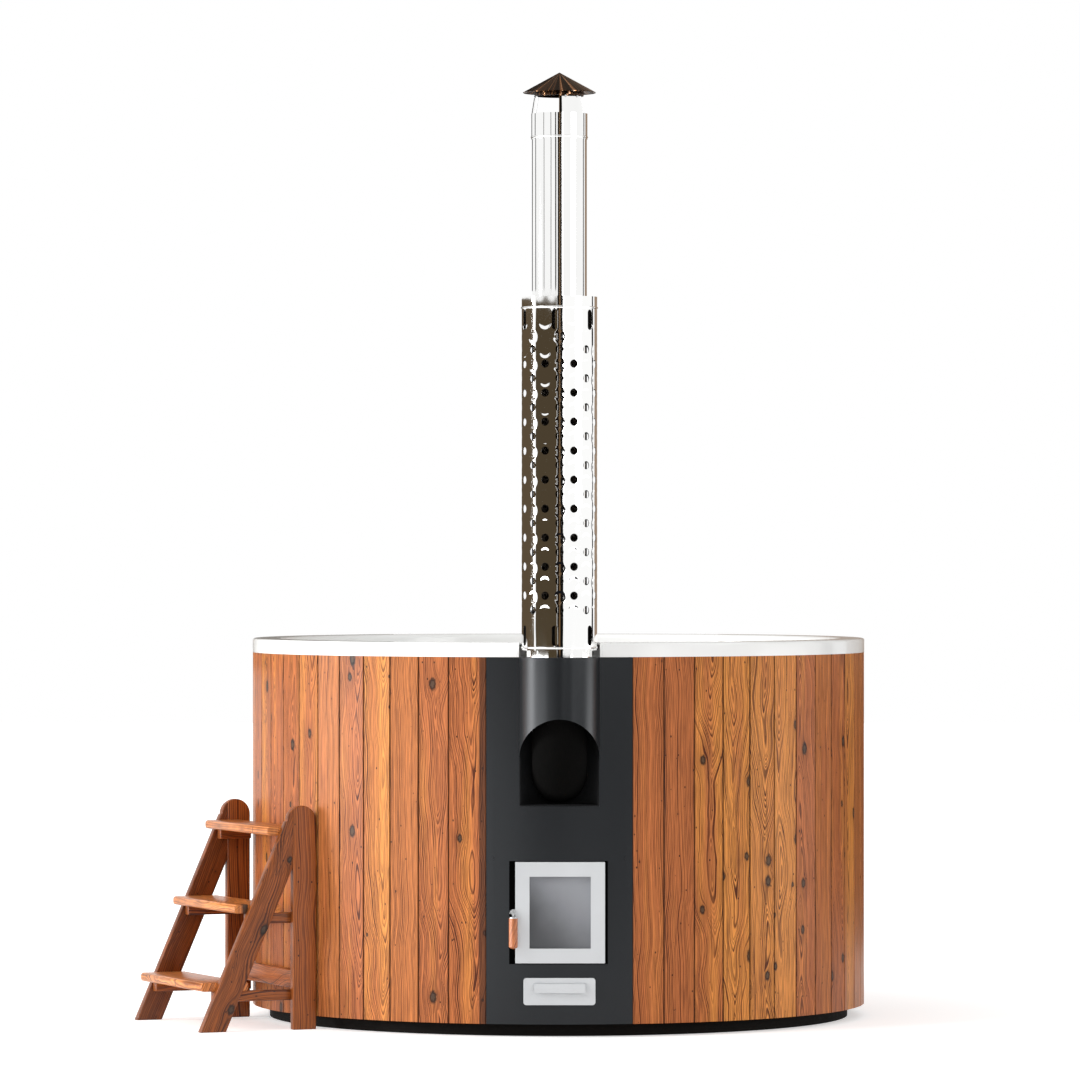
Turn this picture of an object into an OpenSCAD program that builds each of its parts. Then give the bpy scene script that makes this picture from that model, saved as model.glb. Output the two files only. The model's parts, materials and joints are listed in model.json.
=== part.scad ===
// Round wooden hot tub with a built-in wood stove, a shielded flue and a set of steps.
// The origin is the centre of the tub on the ground. The stove faces -Y and +Z is up.
// Angles round the tub are counted from the stove side (-Y) and grow towards +X.

/* [Cladding] */
// Outer radius of the wooden cladding
clad_r = 900; // [880:1:920]
// Height of the boards' lower ends above the ground
clad_z = 37; // [36:1:42]
// Length of the boards
board_l = 1031; // [1000:1:1060]
// Thickness of the boards
board_t = 22; // [20:0.5:24]
// Number of boards, a multiple of four
board_n = 56; // [52:4:60]
// Angle taken by the closing board, left of the front panel
closing_a = 7.1; // [5.6:0.1:7.4]
// Gap between two boards
board_gap = 1; // [0.6:0.1:1.6]
// Bevel on the boards' outer edges
board_bevel = 2.5; // [1:0.1:4]

/* [Liner] */
// Height of the liner's rim
rim_h = 41; // [36:1:48]
// Width of the rim
rim_w = 80; // [78:1:88]
// Thickness of the moulded shell
shell_t = 6; // [5:0.5:8]
// Height of the seat above the ground
seat_z = 640; // [636:1:644]
// Width of the seat
seat_w = 310; // [300:1:316]
// How much the footwell narrows from the seat to its floor
foot_taper = 35; // [25:1:40]
// Height of the footwell's floor above the ground
foot_z = 106; // [105:0.5:108]

/* [Front panel] */
// Width of the panel
panel_w = 411; // [405:1:423]
// Thickness of the panel's sheet
panel_t = 3; // [2:0.5:3]
// Outer radius of the flue housing
housing_r = 113; // [111:0.5:113]
// Height of the housing's floor above the ground
niche_z = 649; // [646:1:652]
// Height of the top of the housing's arch
arch_z = 896; // [880:1:910]

/* [Stove] */
// Width of the door
door_w = 252; // [244:1:256]
// Height of the door
door_h = 284; // [276:1:286]
// Thickness of the door
door_t = 22; // [20:0.5:23]
// Width of the visible glass
glass_w = 172; // [160:1:176]
// Height of the visible glass
glass_h = 202; // [190:1:206]
// Width of the firebox
firebox_w = 310; // [300:1:312]
// Height of the firebox
firebox_h = 420; // [410:1:424]
// Width of the ash drawer's front
drawer_w = 202; // [196:1:210]
// Height of the ash drawer's front
drawer_h = 76; // [74:1:80]

/* [Flue] */
// Outer radius of the flue pipe
flue_r = 77; // [75:0.5:77.5]
// Height of the flue pipe's end above the ground
flue_top_z = 2585; // [2560:1:2590]
// Outer radius of the heat shield
shield_r = 106; // [104:0.5:107]
// Height of the collar that carries the heat shield
collar_h = 22; // [18:1:24]
// Length of the heat shield
shield_l = 989; // [970:1:1000]
// Radius of the round holes in the heat shield
shield_hole_r = 11.5; // [8:0.5:12.5]
// Number of hole columns round the heat shield, a multiple of four
shield_columns = 16; // [12:4:16]
// Number of holes in a long column
shield_rows = 10; // [6:1:10]
// Radius of the rain cap
cap_r = 102; // [96:1:108]
// Height of the rain cap's cone
cap_h = 56; // [46:1:66]

/* [Steps] */
// Distance between the two side frames
step_w = 501; // [480:1:506]
// Height of the first tread's top
tread_1_z = 139; // [132:1:146]
// Height from one tread to the next
tread_rise = 220; // [212:1:222]
// Depth of the treads
tread_d = 143; // [130:1:146]
// Thickness of the treads
tread_t = 25; // [22:0.5:28]
// Width of the posts and stringers
step_wood_w = 71; // [68:0.5:74]
// Thickness of the posts and stringers
step_wood_t = 23; // [21:0.5:27]
// Lean of the stringers from upright
stringer_lean = 23.7; // [23:0.1:24.4]

/* [Hidden] */
$fn = 64;
// Number of segments drawn on the tub's own large circles
tub_fn = 360;

// Overrun of every cut
over = 1;
// Gap between two pieces that stay together
seat_gap = 0.2;
// Gap between two pieces that move past each other
run_gap = 0.5;
// Radial clearance of a pin in its bore
pin_gap = 0.05;

// Cladding and its frame
board_top_z = clad_z + board_l;
panel_half_a = asin(panel_w / 2 / clad_r);
board_pitch_a = (360 - 2 * panel_half_a - closing_a) / (board_n - 1);
board_group_n = board_n / 4;
tongue_w = 6;
tongue_l = 5;
tongue_gap = 0.4;
ring_r = clad_r * cos(board_pitch_a / 2) - board_t - seat_gap;
ring_in_r = clad_r - 3 * board_t;
ring_t = 18;
ring_clear = 7;
ring_front_a = asin((firebox_w / 2 + ring_clear) / ring_in_r);
ring_middle_z = 540;
post_n = 10;
post_offset_a = 2.2;
post_front_a = panel_half_a + post_offset_a;
post_w = 45;
post_d = 30;
bearer_inset = 10;
bearer_r = clad_r - bearer_inset;

// Base
joist_h = 45;
joist_w = 95;
joist_x = 500;
skirt_inset = 50;
skirt_r = clad_r - skirt_inset;
skirt_t = 12;
skirt_lift = 1;
deck_t = 18;
deck_z = joist_h + deck_t;

// Liner
rim_top_z = board_top_z + rim_h;
bearer_z = rim_top_z - shell_t - seat_gap - ring_t;
rim_edge_r = 7;
rim_inner_edge_r = 14;
seat_edge_r = 24;
seat_back_r = 45;
seat_back_w = 100;
rim_in_r = clad_r - rim_w;
seat_out_r = clad_r - seat_back_w;
seat_in_r = seat_out_r - seat_w;
foot_r = seat_in_r - foot_taper;
foot_edge_r = 40;
foot_joint_z = seat_z - 2 * seat_edge_r;
slab_inset = 15;
slab_r = foot_r - slab_inset;
arc_steps = 6;
foot_lean = atan((seat_in_r - foot_r) / (seat_z - foot_z));
wall_lean = atan((rim_in_r - seat_out_r) / (rim_top_z - seat_z));
liner_under_z = foot_z - shell_t;
flue_clear_r = housing_r + 1;
flue_flange_w = 30;
bearer_front_a = asin((flue_clear_r + flue_flange_w + seat_gap) / ring_in_r);
hump_gap = 12;
hump_corner_r = 30;
hump_depth = 35;
hump_front_y = -clad_r + hump_depth;

// Bench bearer
bench_w = seat_w / 3;
bench_out_r = seat_out_r - bench_w;
bench_in_r = bench_out_r - bench_w;
bench_t = 18;
bench_front_a = 20;
bench_leg_n = 6;
bench_leg_w = 45;
bench_z = seat_z - shell_t - seat_gap - bench_t;

// Front panel
panel_in_r = clad_r - panel_t;
panel_flange_d = 20;
panel_top_z = board_top_z - seat_gap;
recess_left_x = -141;
recess_right_x = 136;
recess_z = 206;
recess_top_z = 495.5;
batten_w = 26;
batten_clear = 1.2;
batten_out_r = panel_in_r - run_gap;
batten_a = panel_half_a - asin((batten_w / 2 + panel_t + batten_clear) / batten_out_r);
batten_in_r = ring_r + seat_gap;
batten_top_z = board_top_z - 2 * panel_t;
screw_z = 503;
screw_r = 2.5;
screw_head_r = 4.5;
screw_head_t = 2;
screw_l = 16;

// Flue housing
housing_t = 3;
housing_in_r = housing_r - housing_t;
niche_cut_y = -sqrt(pow(clad_r, 2) - pow(housing_r, 2));
arch_spring_z = arch_z - housing_r;

// Door
door_cx = 2;
door_z = 209;
door_proud = 2;
door_front_y = -clad_r - door_proud;
door_back_y = door_front_y + door_t;
door_edge_r = 1.5;
glass_z = 250;
glass_t = 4;
glass_lap = 8;
rebate_d = 8;
pane_gap = 1;
gasket_w = 8;
gasket_gap = 0.3;
gasket_out_w = 220;
gasket_out_h = 254;
gasket_z = 224;
clip_h = 26;
clip_t = 3;
clip_reach = 10;
clip_lap = 7.5;
clip_screw_r = 2;
clip_head_r = 3.5;
clip_head_t = 2;
clip_screw_l = 9;
clip_screw_dx = 4;
hinge_x = 120;
hinge_depth = 10;
hinge_y = -clad_r + hinge_depth;
hinge_pin_r = 4;
hinge_lug_r = 6.5;
hinge_lug_h = 12;
hinge_pin_l = 40;
hinge_low_z = 246;
hinge_high_z = 456;

// Door handle and latch
latch_x = -129.5;
latch_z = 353;
latch_r = 3;
bracket_r = 7;
bracket_front_y = door_front_y;
bracket_t = 15;
bracket_back_y = bracket_front_y + bracket_t;
hub_r = 8;
hub_t = 7;
tongue_plate_t = 4;
tongue_plate_w = 6;
tongue_reach = 9.5;
arm_w = 7;
grip_reach = 16;
grip_y = door_front_y - grip_reach;
grip_r = 12.5;
grip_z = 250;
grip_l = 86;
grip_dome_h = 6;
collar_r = 11;
collar_t = 3.5;
rod_r = 4;
rod_l = 70;
keeper_t = 3;
keeper_w = 6;

// Stove body
face_t = 6;
face_depth = 38;
face_back_y = -clad_r + face_depth;
face_front_y = face_back_y - face_t;
face_half_w = 150;
face_z = 190;
face_h = 322;
face_hole_w = 190;
face_hole_h = 230;
face_hole_z = 236;
surround_t = 2;
firebox_z = 180;
firebox_l = 332;
firebox_back_y = face_back_y + firebox_l;
jacket_t = 30;
firebox_floor_t = 20;
firebox_top_t = 40;
chamber_z = firebox_z + firebox_floor_t;
chamber_top_z = firebox_z + firebox_h - firebox_top_t;
outlet_w = 120;
outlet_depth = 84;
outlet_l = 78;
outlet_front_y = face_back_y + outlet_depth;
outlet_back_y = outlet_front_y + outlet_l;
pit_w = 170;
pit_depth = 62;
pit_l = 200;
pit_front_y = face_back_y + pit_depth;
pit_back_y = pit_front_y + pit_l;
leg_w = 38;
leg_t = 4;

// Grate
grate_lap = 8;
grate_t = 12;
grate_bars = 9;
grate_slot_w = 10;

// Ash chute and drawer
chute_w = 184;
chute_t = 2;
chute_z = 98;
chute_h = 68;
chute_depth = 14;
chute_l = 328;
chute_front_y = -clad_r + chute_depth;
chute_back_y = chute_front_y + chute_l;
drawer_z = 92;
drawer_corner_r = 8.5;
drawer_proud = 6;
drawer_front_y = -clad_r - drawer_proud;
drawer_plate_t = 3;
drawer_box_w = 177;
drawer_box_h = 57;
drawer_box_t = 1.5;
drawer_back_y = chute_back_y - chute_t - seat_gap;
pull_w = 144;
pull_cx = 1;
pull_top_z = 154;
pull_drop = 28;
pull_reach = 11;
pull_t = 2;

// Smoke box and elbow
smoke_w = 200;
smoke_l = 98;
smoke_front_y = outlet_front_y;
smoke_back_y = smoke_front_y + smoke_l;
smoke_top_z = 830;
smoke_t = 3;
smoke_flange = 10;
elbow_bend_r = 90;
elbow_z = 735;
elbow_wall = 1.5;
elbow_reach = 50;
socket_l = 50;
socket_lap = 10;
socket_t = 2;
pipe_z = 905;
pipe_gap = 0.1;

// Collar and heat shield
collar_drum_r = 95.5;
collar_wall = 2;
shield_z = board_top_z + collar_h;
shield_wall = 1.2;
bead_r = 3;
bead_low_dz = 5;
bead_high_dz = 31;
hole_top_dz = 149;
hole_low_dz = 111;
hole_pitch = (shield_l - hole_top_dz - hole_low_dz) / (shield_rows - 1);
slot_w = 18;
slot_l = 57;
slot_n = 6;
slot_phase_a = -7;
slot_low_dz = 39.5;
slot_high_dz = 66;
spacer_w = 20;
spacer_t = 1.5;
spacer_h = 24;
spacer_n = 3;
spacer_low_dz = 108;
spacer_high_dz = 100;

// Cowl and rain cap
cowl_h = 73;
cowl_lap = 8;
cowl_top_z = flue_top_z + cowl_lap;
cowl_z = cowl_top_z - cowl_h;
cowl_wall = 1.5;
cowl_bead_dz = 7;
cowl_bead_z = cowl_z + cowl_bead_dz;
cowl_bead_r = 1.6;
strap_n = 3;
strap_a = 60;
strap_phase_a = 29;
strap_l = 52;
strap_top_z = cowl_top_z + strap_l;
strap_top_r = 69.7;
strap_t = 1.2;
strap_lap = 2.4;
strap_base_r = flue_r + pipe_gap + (cowl_wall + strap_t) / 2;
cap_lift = 8;
cap_z = strap_top_z + cap_lift;
cap_t = 1.2;
cap_lip_drop = 2;
cap_collar_lap = 3;
cap_collar_z = strap_top_z - cap_collar_lap;
rivet_r = 3;
rivet_t = 1.4;
rivet_dz = 6;

// Water pipes
port_low_z = 250;
port_high_z = 540;
port_pipe_r = 24;
port_pipe_t = 3;
port_sink = 15;
port_reach = 8;
port_flange_r = 42;
grille_t = 3;
grille_hole_r = 4.5;
grille_ring_r = 14;
grille_hole_n = 6;

// Drain
drain_x = 150;
drain_r = 16;
drain_wall = 2.5;
drain_pipe_z = 19;
drain_stem_r = 19.5;
drain_flange_r = 32;
drain_flange_t = 3;
drain_joint_z = deck_z - 1;
plug_r = 21;
plug_t = 6;
plug_stem_l = 14;
plug_knob_r = 8;
valve_clear = 3;
valve_y = clad_r + valve_clear;
valve_r = 18.4;
valve_l = 42;
nipple_r = 16.6;
nipple_l = 24;
stem_r = 4;
lever_l = 62;
lever_w = 14;
lever_t = 3;
lever_z = 40;

// Steps
step_turn_a = -66.3;
step_shift = -17.4;
step_top_z = 639;
step_top_r = 44;
step_clear = 0.1;
tread_1_front = 305.5;
tread_run = 100;
tread_edge_r = 9;
tread_gap = 0.3;
cleat_t = 28;
cleat_h = 30;
cleat_back = 38;
rail_z = 119;
rail_h = 52;
rail_t = 24;
foot_front = 278.6;

// Points on an arc from angle a0 to angle a1
function arc(cx, cy, r, a0, a1) =
    [for (i = [0:arc_steps]) [cx + r * cos(a0 + (a1 - a0) * i / arc_steps),
                              cy + r * sin(a0 + (a1 - a0) * i / arc_steps)]];

// Inside of the liner, grown by g: the round between the footwell's floor and its wall
function foot_round(g) =
    arc(foot_r - foot_edge_r, foot_z + foot_edge_r, foot_edge_r + g, -90, -foot_lean);

// The seat's inner edge, the round behind the seat and the rim's inner edge
function upper_rounds(g) = concat(
    arc(seat_in_r + seat_edge_r, seat_z - seat_edge_r, seat_edge_r - g, 180 - foot_lean, 90),
    arc(seat_out_r - seat_back_r, seat_z + seat_back_r, seat_back_r + g, -90, -wall_lean),
    arc(rim_in_r + rim_inner_edge_r, rim_top_z - rim_inner_edge_r,
        rim_inner_edge_r - g, 180 - wall_lean, 90));

// Radius of the footwell's wall at height z
function foot_wall_r(z, g = 0) =
    let (low = foot_round(g)[arc_steps], high = upper_rounds(g)[0])
    low.x + (z - low.y) * (high.x - low.x) / (high.y - low.y);

// Where the footwell is bonded to the seat
function foot_joint(g) = [foot_wall_r(foot_joint_z, g), foot_joint_z];

// Outer radius of the cowl's straps at height z
function strap_r(z) = strap_base_r + (strap_top_r - strap_base_r)
    * (z - cowl_top_z + strap_lap) / (strap_top_z - cowl_top_z + strap_lap);

// Height of the rain cap's underside at radius r
function cap_under_z(r) = cap_z + cap_h * (1 - r / cap_r) - cap_t * sqrt(1 + pow(cap_h / cap_r, 2));

// Turns its children to angle a round the tub
module at_angle(a) {
    rotate([0, 0, a]) children();
}

// Rectangular bar between two corners
module bar(low, high) {
    translate(low) cube(high - low);
}

// Bar along X, centred on x = cx
module wide_bar(w, y0, y1, z0, z1, cx = 0) {
    bar([cx - w / 2, y0, z0], [cx + w / 2, y1, z1]);
}

// Cylinder along Y from y0 to y1
module rod_y(r, y0, y1, x, z) {
    translate([x, y1, z]) rotate([90, 0, 0]) cylinder(r = r, h = y1 - y0);
}

// Ring of rectangular section that leaves out the front by a on each side
module open_ring(r0, r1, z0, z1, a) {
    rotate([0, 0, a - 90])
        rotate_extrude(angle = 360 - 2 * a, $fn = tub_fn)
            translate([r0, z0]) square([r1 - r0, z1 - z0]);
}

// Closed tube
module tube(r0, r1, z0, z1) {
    translate([0, 0, z0]) difference() {
        cylinder(r = r1, h = z1 - z0);
        translate([0, 0, -over]) cylinder(r = r0, h = z1 - z0 + 2 * over);
    }
}

// Rectangle with round corners, centred on x = 0
module round_rect(w, d, r) {
    translate([-w / 2 + r, 0]) square([w - 2 * r, d]);
    translate([-w / 2, r]) square([w, d - 2 * r]);
    for (x = [-w / 2 + r, w / 2 - r], y = [r, d - r]) translate([x, y]) circle(r = r);
}

// Base
module base_joists() color("#2a2522") {
    for (x = [-joist_x, 0, joist_x]) {
        half_l = sqrt(pow(skirt_r - skirt_t - seat_gap, 2) - pow(abs(x) + joist_w / 2, 2));
        translate([x, 0, 0]) wide_bar(joist_w, -half_l, half_l, 0, joist_h);
    }
}

module base_skirt() color("#151515") {
    difference() {
        tube(skirt_r - skirt_t, skirt_r, skirt_lift, joist_h);
        rod_y(drain_r + run_gap, 0, clad_r, drain_x, drain_pipe_z);
    }
}

// Disc in four boards, which leave a square hole for the drain
module boards_round_drain(r, z0, z1) {
    hole = drain_stem_r + run_gap;
    edge = r + over;
    left_x = drain_x - hole;
    right_x = drain_x + hole;
    for (b = [[[-edge, -edge], [left_x - seat_gap, edge]], [[right_x + seat_gap, -edge], [edge, edge]],
              [[left_x, -edge], [right_x, -hole]], [[left_x, hole], [right_x, edge]]])
        intersection() {
            translate([0, 0, z0]) cylinder(r = r, h = z1 - z0);
            bar([b[0][0], b[0][1], z0 - over], [b[1][0], b[1][1], z1 + over]);
        }
}

module base_deck() color("#4a3c2f") boards_round_drain(ring_r, joist_h, deck_z);

module floor_slab() color("#d8cfae") boards_round_drain(slab_r, deck_z, liner_under_z);

// Frame behind the boards
module post_places() {
    for (i = [0:post_n - 1])
        at_angle(post_front_a + i * (360 - 2 * post_front_a) / (post_n - 1)) children();
}

module cladding_ring(z) {
    difference() {
        open_ring(ring_in_r, ring_r, z, z + ring_t, ring_front_a);
        post_places() wide_bar(post_w + 2 * seat_gap, -ring_in_r - post_d - seat_gap,
                               -ring_in_r + post_d, z - over, z + ring_t + over);
    }
}

module cladding_rings() color("#8a6a45") {
    cladding_ring(deck_z + seat_gap);
    cladding_ring(ring_middle_z);
    cladding_ring(board_top_z - ring_t - panel_t);
}

module rim_bearer() color("#8a6a45") {
    open_ring(ring_in_r, bearer_r, bearer_z, bearer_z + ring_t, bearer_front_a);
}

module frame_posts() color("#8a6a45") {
    post_places() wide_bar(post_w, -ring_in_r - post_d, -ring_in_r, deck_z, bearer_z);
}

module panel_battens() color("#8a6a45") {
    for (side = [-1, 1]) difference() {
        at_angle(side * batten_a)
            wide_bar(batten_w, -batten_out_r, -batten_in_r, deck_z, batten_top_z);
        at_angle(side * batten_a) rod_y(screw_r + pin_gap, -clad_r, -clad_r + screw_l + over,
                                        0, screw_z);
    }
}

// Boards
module board_shape(a) {
    half_out = clad_r * sin(a / 2) - board_gap / 2;
    half_in = (clad_r - board_t) * sin(a / 2) - board_gap / 2;
    y_out = -clad_r * cos(a / 2);
    y_in = -ring_r - seat_gap;
    y_mid = y_out + board_t / 2;
    half_mid = (half_out + half_in) / 2;
    half_tongue = tongue_w / 2;
    half_groove = half_tongue + tongue_gap;
    reach = [tongue_l * cos(a / 2), tongue_l * sin(a / 2)];
    polygon([
        [-half_out + board_bevel, y_out], [half_out - board_bevel, y_out],
        [half_out, y_out + board_bevel],
        [half_mid, y_mid - half_tongue], [half_mid + reach.x, y_mid - half_tongue + reach.y],
        [half_mid + reach.x, y_mid + half_tongue + reach.y], [half_mid, y_mid + half_tongue],
        [half_in, y_in], [-half_in, y_in],
        [-half_mid, y_mid + half_groove], [-half_mid + reach.x, y_mid + half_groove - reach.y],
        [-half_mid + reach.x, y_mid - half_groove - reach.y], [-half_mid, y_mid - half_groove],
        [-half_out, y_out + board_bevel]
    ]);
}

module closing_board_shape() {
    half_out = clad_r * sin(closing_a / 2);
    intersection() {
        board_shape(closing_a);
        translate([-half_out, -clad_r - over])
            square([2 * half_out - board_gap, board_t + 2 * tongue_l]);
    }
}

module board_group(first) {
    translate([0, 0, clad_z]) linear_extrude(height = board_l)
        for (i = [first:first + board_group_n - 1])
            if (i == board_n - 1) at_angle(-panel_half_a - closing_a / 2) closing_board_shape();
            else at_angle(panel_half_a + board_pitch_a * (i + 1 / 2)) board_shape(board_pitch_a);
}

module boards_front_right() color("#b0693a") board_group(0);
module boards_back_right() color("#a8623a") board_group(board_group_n);
module boards_back_left() color("#a8623a") board_group(2 * board_group_n);
module boards_front_left() color("#b0693a") board_group(3 * board_group_n);

// Liner, in three mouldings: rim, wall and seat, then the footwell, then the hump round the flue
module liner_cavity() {
    rotate_extrude($fn = tub_fn) polygon(concat(
        [[0, foot_z]], foot_round(0), upper_rounds(0),
        [[rim_in_r + rim_inner_edge_r, rim_top_z + over], [0, rim_top_z + over]]));
}

// Outside of the rim, wall and seat, from the bonded joint up
module upper_envelope() {
    rotate_extrude($fn = tub_fn) polygon(concat(
        [[0, foot_joint_z], foot_joint(shell_t)], upper_rounds(shell_t),
        [[clad_r - shell_t, rim_top_z - shell_t], [clad_r - shell_t, board_top_z],
         [clad_r, board_top_z]],
        arc(clad_r - rim_edge_r, rim_top_z - rim_edge_r, rim_edge_r, 0, 90), [[0, rim_top_z]]));
}

module hump(g) {
    under_z = bench_z + g;
    translate([0, -clad_r, under_z])
        cylinder(r = flue_clear_r + g, h = rim_top_z - under_z + over);
    translate([0, hump_front_y, under_z])
        linear_extrude(height = smoke_top_z + hump_gap + g - under_z)
            round_rect(smoke_w + 2 * (hump_gap + g), smoke_back_y + hump_gap + g - hump_front_y,
                       hump_corner_r);
}

// Hump and the flange round the flue, grown by g
module flue_cover(g) {
    hump(shell_t + g);
    translate([0, -clad_r, rim_top_z - shell_t - g])
        cylinder(r = flue_clear_r + flue_flange_w + g, h = shell_t + g + over);
}

module liner() color("#f4f4f2") {
    difference() {
        upper_envelope();
        liner_cavity();
        flue_cover(seat_gap);
    }
}

module liner_footwell() color("#f4f4f2") {
    difference() {
        rotate_extrude($fn = tub_fn) polygon(concat(
            [[0, foot_z - shell_t]], foot_round(shell_t), [foot_joint(shell_t), [0, foot_joint_z]]));
        liner_cavity();
        translate([drain_x, 0, 0]) cylinder(r = drain_stem_r + pin_gap, h = foot_z + over);
        for (z = [port_low_z, port_high_z])
            rod_y(port_pipe_r + pin_gap, -seat_in_r - 2 * shell_t, -foot_r + 2 * foot_edge_r, 0, z);
    }
}

module liner_hump() color("#f4f4f2") {
    difference() {
        intersection() {
            flue_cover(0);
            upper_envelope();
        }
        hump(0);
    }
}

module bench_bearer() color("#8a6a45") {
    open_ring(bench_in_r, bench_out_r, bench_z, bench_z + bench_t, bench_front_a);
}

module bench_legs() color("#8a6a45") {
    for (i = [0:bench_leg_n - 1])
        at_angle(360 / bench_leg_n * (i + 1 / 2))
            translate([0, -(bench_in_r + bench_out_r) / 2, 0])
                wide_bar(bench_leg_w, -bench_leg_w / 2, bench_leg_w / 2, deck_z, bench_z);
}

// Front panel
module front_panel() color("#3b3e42") {
    difference() {
        union() {
            rotate([0, 0, -90 - panel_half_a])
                rotate_extrude(angle = 2 * panel_half_a, $fn = tub_fn)
                    polygon([[panel_in_r - panel_flange_d, clad_z], [clad_r, clad_z],
                             [clad_r, panel_top_z], [panel_in_r, panel_top_z],
                             [panel_in_r, clad_z + panel_t],
                             [panel_in_r - panel_flange_d, clad_z + panel_t]]);
            // The side flanges stand a little in from the sheet's ends
            for (side = [0, 1]) mirror([side, 0, 0]) at_angle(panel_half_a)
                bar([-panel_t - seat_gap, -panel_in_r - panel_t / 2, clad_z],
                    [-seat_gap, -panel_in_r + panel_flange_d - panel_t / 2, panel_top_z]);
        }
        bar([recess_left_x, -clad_r - over, recess_z],
            [recess_right_x, -clad_r + 2 * panel_flange_d, recess_top_z]);
        wide_bar(chute_w, -clad_r - over, -clad_r + 2 * panel_flange_d,
                 chute_z + chute_t, chute_z + chute_h - chute_t);
        translate([0, -clad_r, niche_z]) cylinder(r = housing_r + seat_gap, h = board_l);
        for (side = [-1, 1]) at_angle(side * batten_a)
            rod_y(screw_r + pin_gap, -clad_r - over, -clad_r + 2 * panel_t, 0, screw_z);
    }
}

module panel_screws() color("#8a8d90") {
    for (side = [-1, 1]) at_angle(side * batten_a) {
        rod_y(screw_r, -clad_r - screw_head_t / 2, -clad_r + screw_l, 0, screw_z);
        rod_y(screw_head_r, -clad_r - screw_head_t - seat_gap, -clad_r - seat_gap, 0, screw_z);
    }
}

module flue_housing() color("#3b3e42") {
    difference() {
        union() {
            translate([0, -clad_r, 0]) tube(housing_in_r, housing_r, niche_z, board_top_z);
            translate([0, -clad_r, niche_z]) cylinder(r = housing_r, h = housing_t);
            translate([0, -clad_r, 0]) tube(flue_r + run_gap, housing_r,
                                            board_top_z - housing_t, board_top_z);
        }
        rod_y(housing_r, -clad_r - housing_r - over, niche_cut_y, 0, arch_spring_z);
        wide_bar(2 * housing_r + over, -clad_r - housing_r - over, niche_cut_y,
                 niche_z - over, arch_spring_z);
        rod_y(flue_r + run_gap, -clad_r, -clad_r + housing_r + over, 0, elbow_z);
    }
}

module door_surround() color("#0e0d0c") {
    intersection() {
        difference() {
            bar([recess_left_x - surround_t, -clad_r, recess_z - surround_t],
                [recess_right_x + surround_t, face_front_y, recess_top_z + surround_t]);
            bar([recess_left_x, -clad_r - over, recess_z],
                [recess_right_x, face_front_y + over, recess_top_z]);
        }
        cylinder(r = panel_in_r - seat_gap, h = board_l, $fn = tub_fn);
    }
}

module latch_keeper() color("#8f9295") {
    shelf_z = latch_z - tongue_plate_w / 2 - run_gap;
    bar([recess_left_x, door_back_y - tongue_plate_t, shelf_z - keeper_t],
        [recess_left_x + keeper_w, face_front_y, shelf_z]);
}

// Stove body
module stove_legs() color("#1c1c1c") {
    for (sx = [0, 1]) mirror([sx, 0, 0])
        for (y = [face_back_y + leg_t, firebox_back_y - leg_t - leg_w]) difference() {
            bar([firebox_w / 2 - leg_w, y, deck_z], [firebox_w / 2, y + leg_w, firebox_z]);
            bar([firebox_w / 2 - leg_w - over, y - over, deck_z - over],
                [firebox_w / 2 - leg_t, y + leg_w - leg_t, firebox_z + over]);
        }
}

module ash_chute() color("#222222") {
    top_z = chute_z + chute_h;
    difference() {
        union() {
            wide_bar(chute_w, chute_front_y, chute_back_y, chute_z, top_z);
            wide_bar(pit_w + 2 * chute_t, pit_front_y - chute_t, pit_back_y + chute_t,
                     top_z - chute_t, firebox_z);
        }
        wide_bar(chute_w - 2 * chute_t, chute_front_y - over, chute_back_y - chute_t,
                 chute_z + chute_t, top_z - chute_t);
        wide_bar(pit_w, pit_front_y, pit_back_y, chute_z + chute_t, firebox_z + over);
    }
}

module firebox() color("#262626") {
    difference() {
        wide_bar(firebox_w, face_back_y, firebox_back_y, firebox_z, firebox_z + firebox_h);
        wide_bar(firebox_w - 2 * jacket_t, face_back_y - over, firebox_back_y - jacket_t,
                 chamber_z, chamber_top_z);
        wide_bar(pit_w, pit_front_y, pit_back_y, firebox_z - over, chamber_z + over);
        wide_bar(outlet_w, outlet_front_y, outlet_back_y, chamber_top_z - over,
                 firebox_z + firebox_h + over);
        for (z = [port_low_z, port_high_z])
            rod_y(port_pipe_r + pin_gap, firebox_back_y - port_sink, firebox_back_y + over, 0, z);
    }
}

module stove_face() color("#1a1a1a") {
    difference() {
        union() {
            wide_bar(2 * face_half_w, face_front_y, face_back_y, face_z, face_z + face_h);
            for (z = [hinge_low_z, hinge_high_z]) {
                bar([hinge_x - hinge_lug_r, hinge_y, z - hinge_lug_h / 2],
                    [hinge_x + hinge_lug_r, face_front_y + over, z + hinge_lug_h / 2]);
                translate([hinge_x, hinge_y, z - hinge_lug_h / 2])
                    cylinder(r = hinge_lug_r, h = hinge_lug_h);
            }
        }
        wide_bar(face_hole_w, face_front_y - over, face_back_y + over,
                 face_hole_z, face_hole_z + face_hole_h, door_cx);
        for (z = [hinge_low_z, hinge_high_z])
            translate([hinge_x, hinge_y, z - hinge_lug_h])
                cylinder(r = hinge_pin_r + pin_gap / 2, h = 2 * hinge_lug_h);
    }
}

module hinge_pins() color("#9a9c9e") {
    for (z = [hinge_low_z, hinge_high_z])
        translate([hinge_x, hinge_y, z - hinge_pin_l / 2])
            cylinder(r = hinge_pin_r, h = hinge_pin_l);
}

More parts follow.
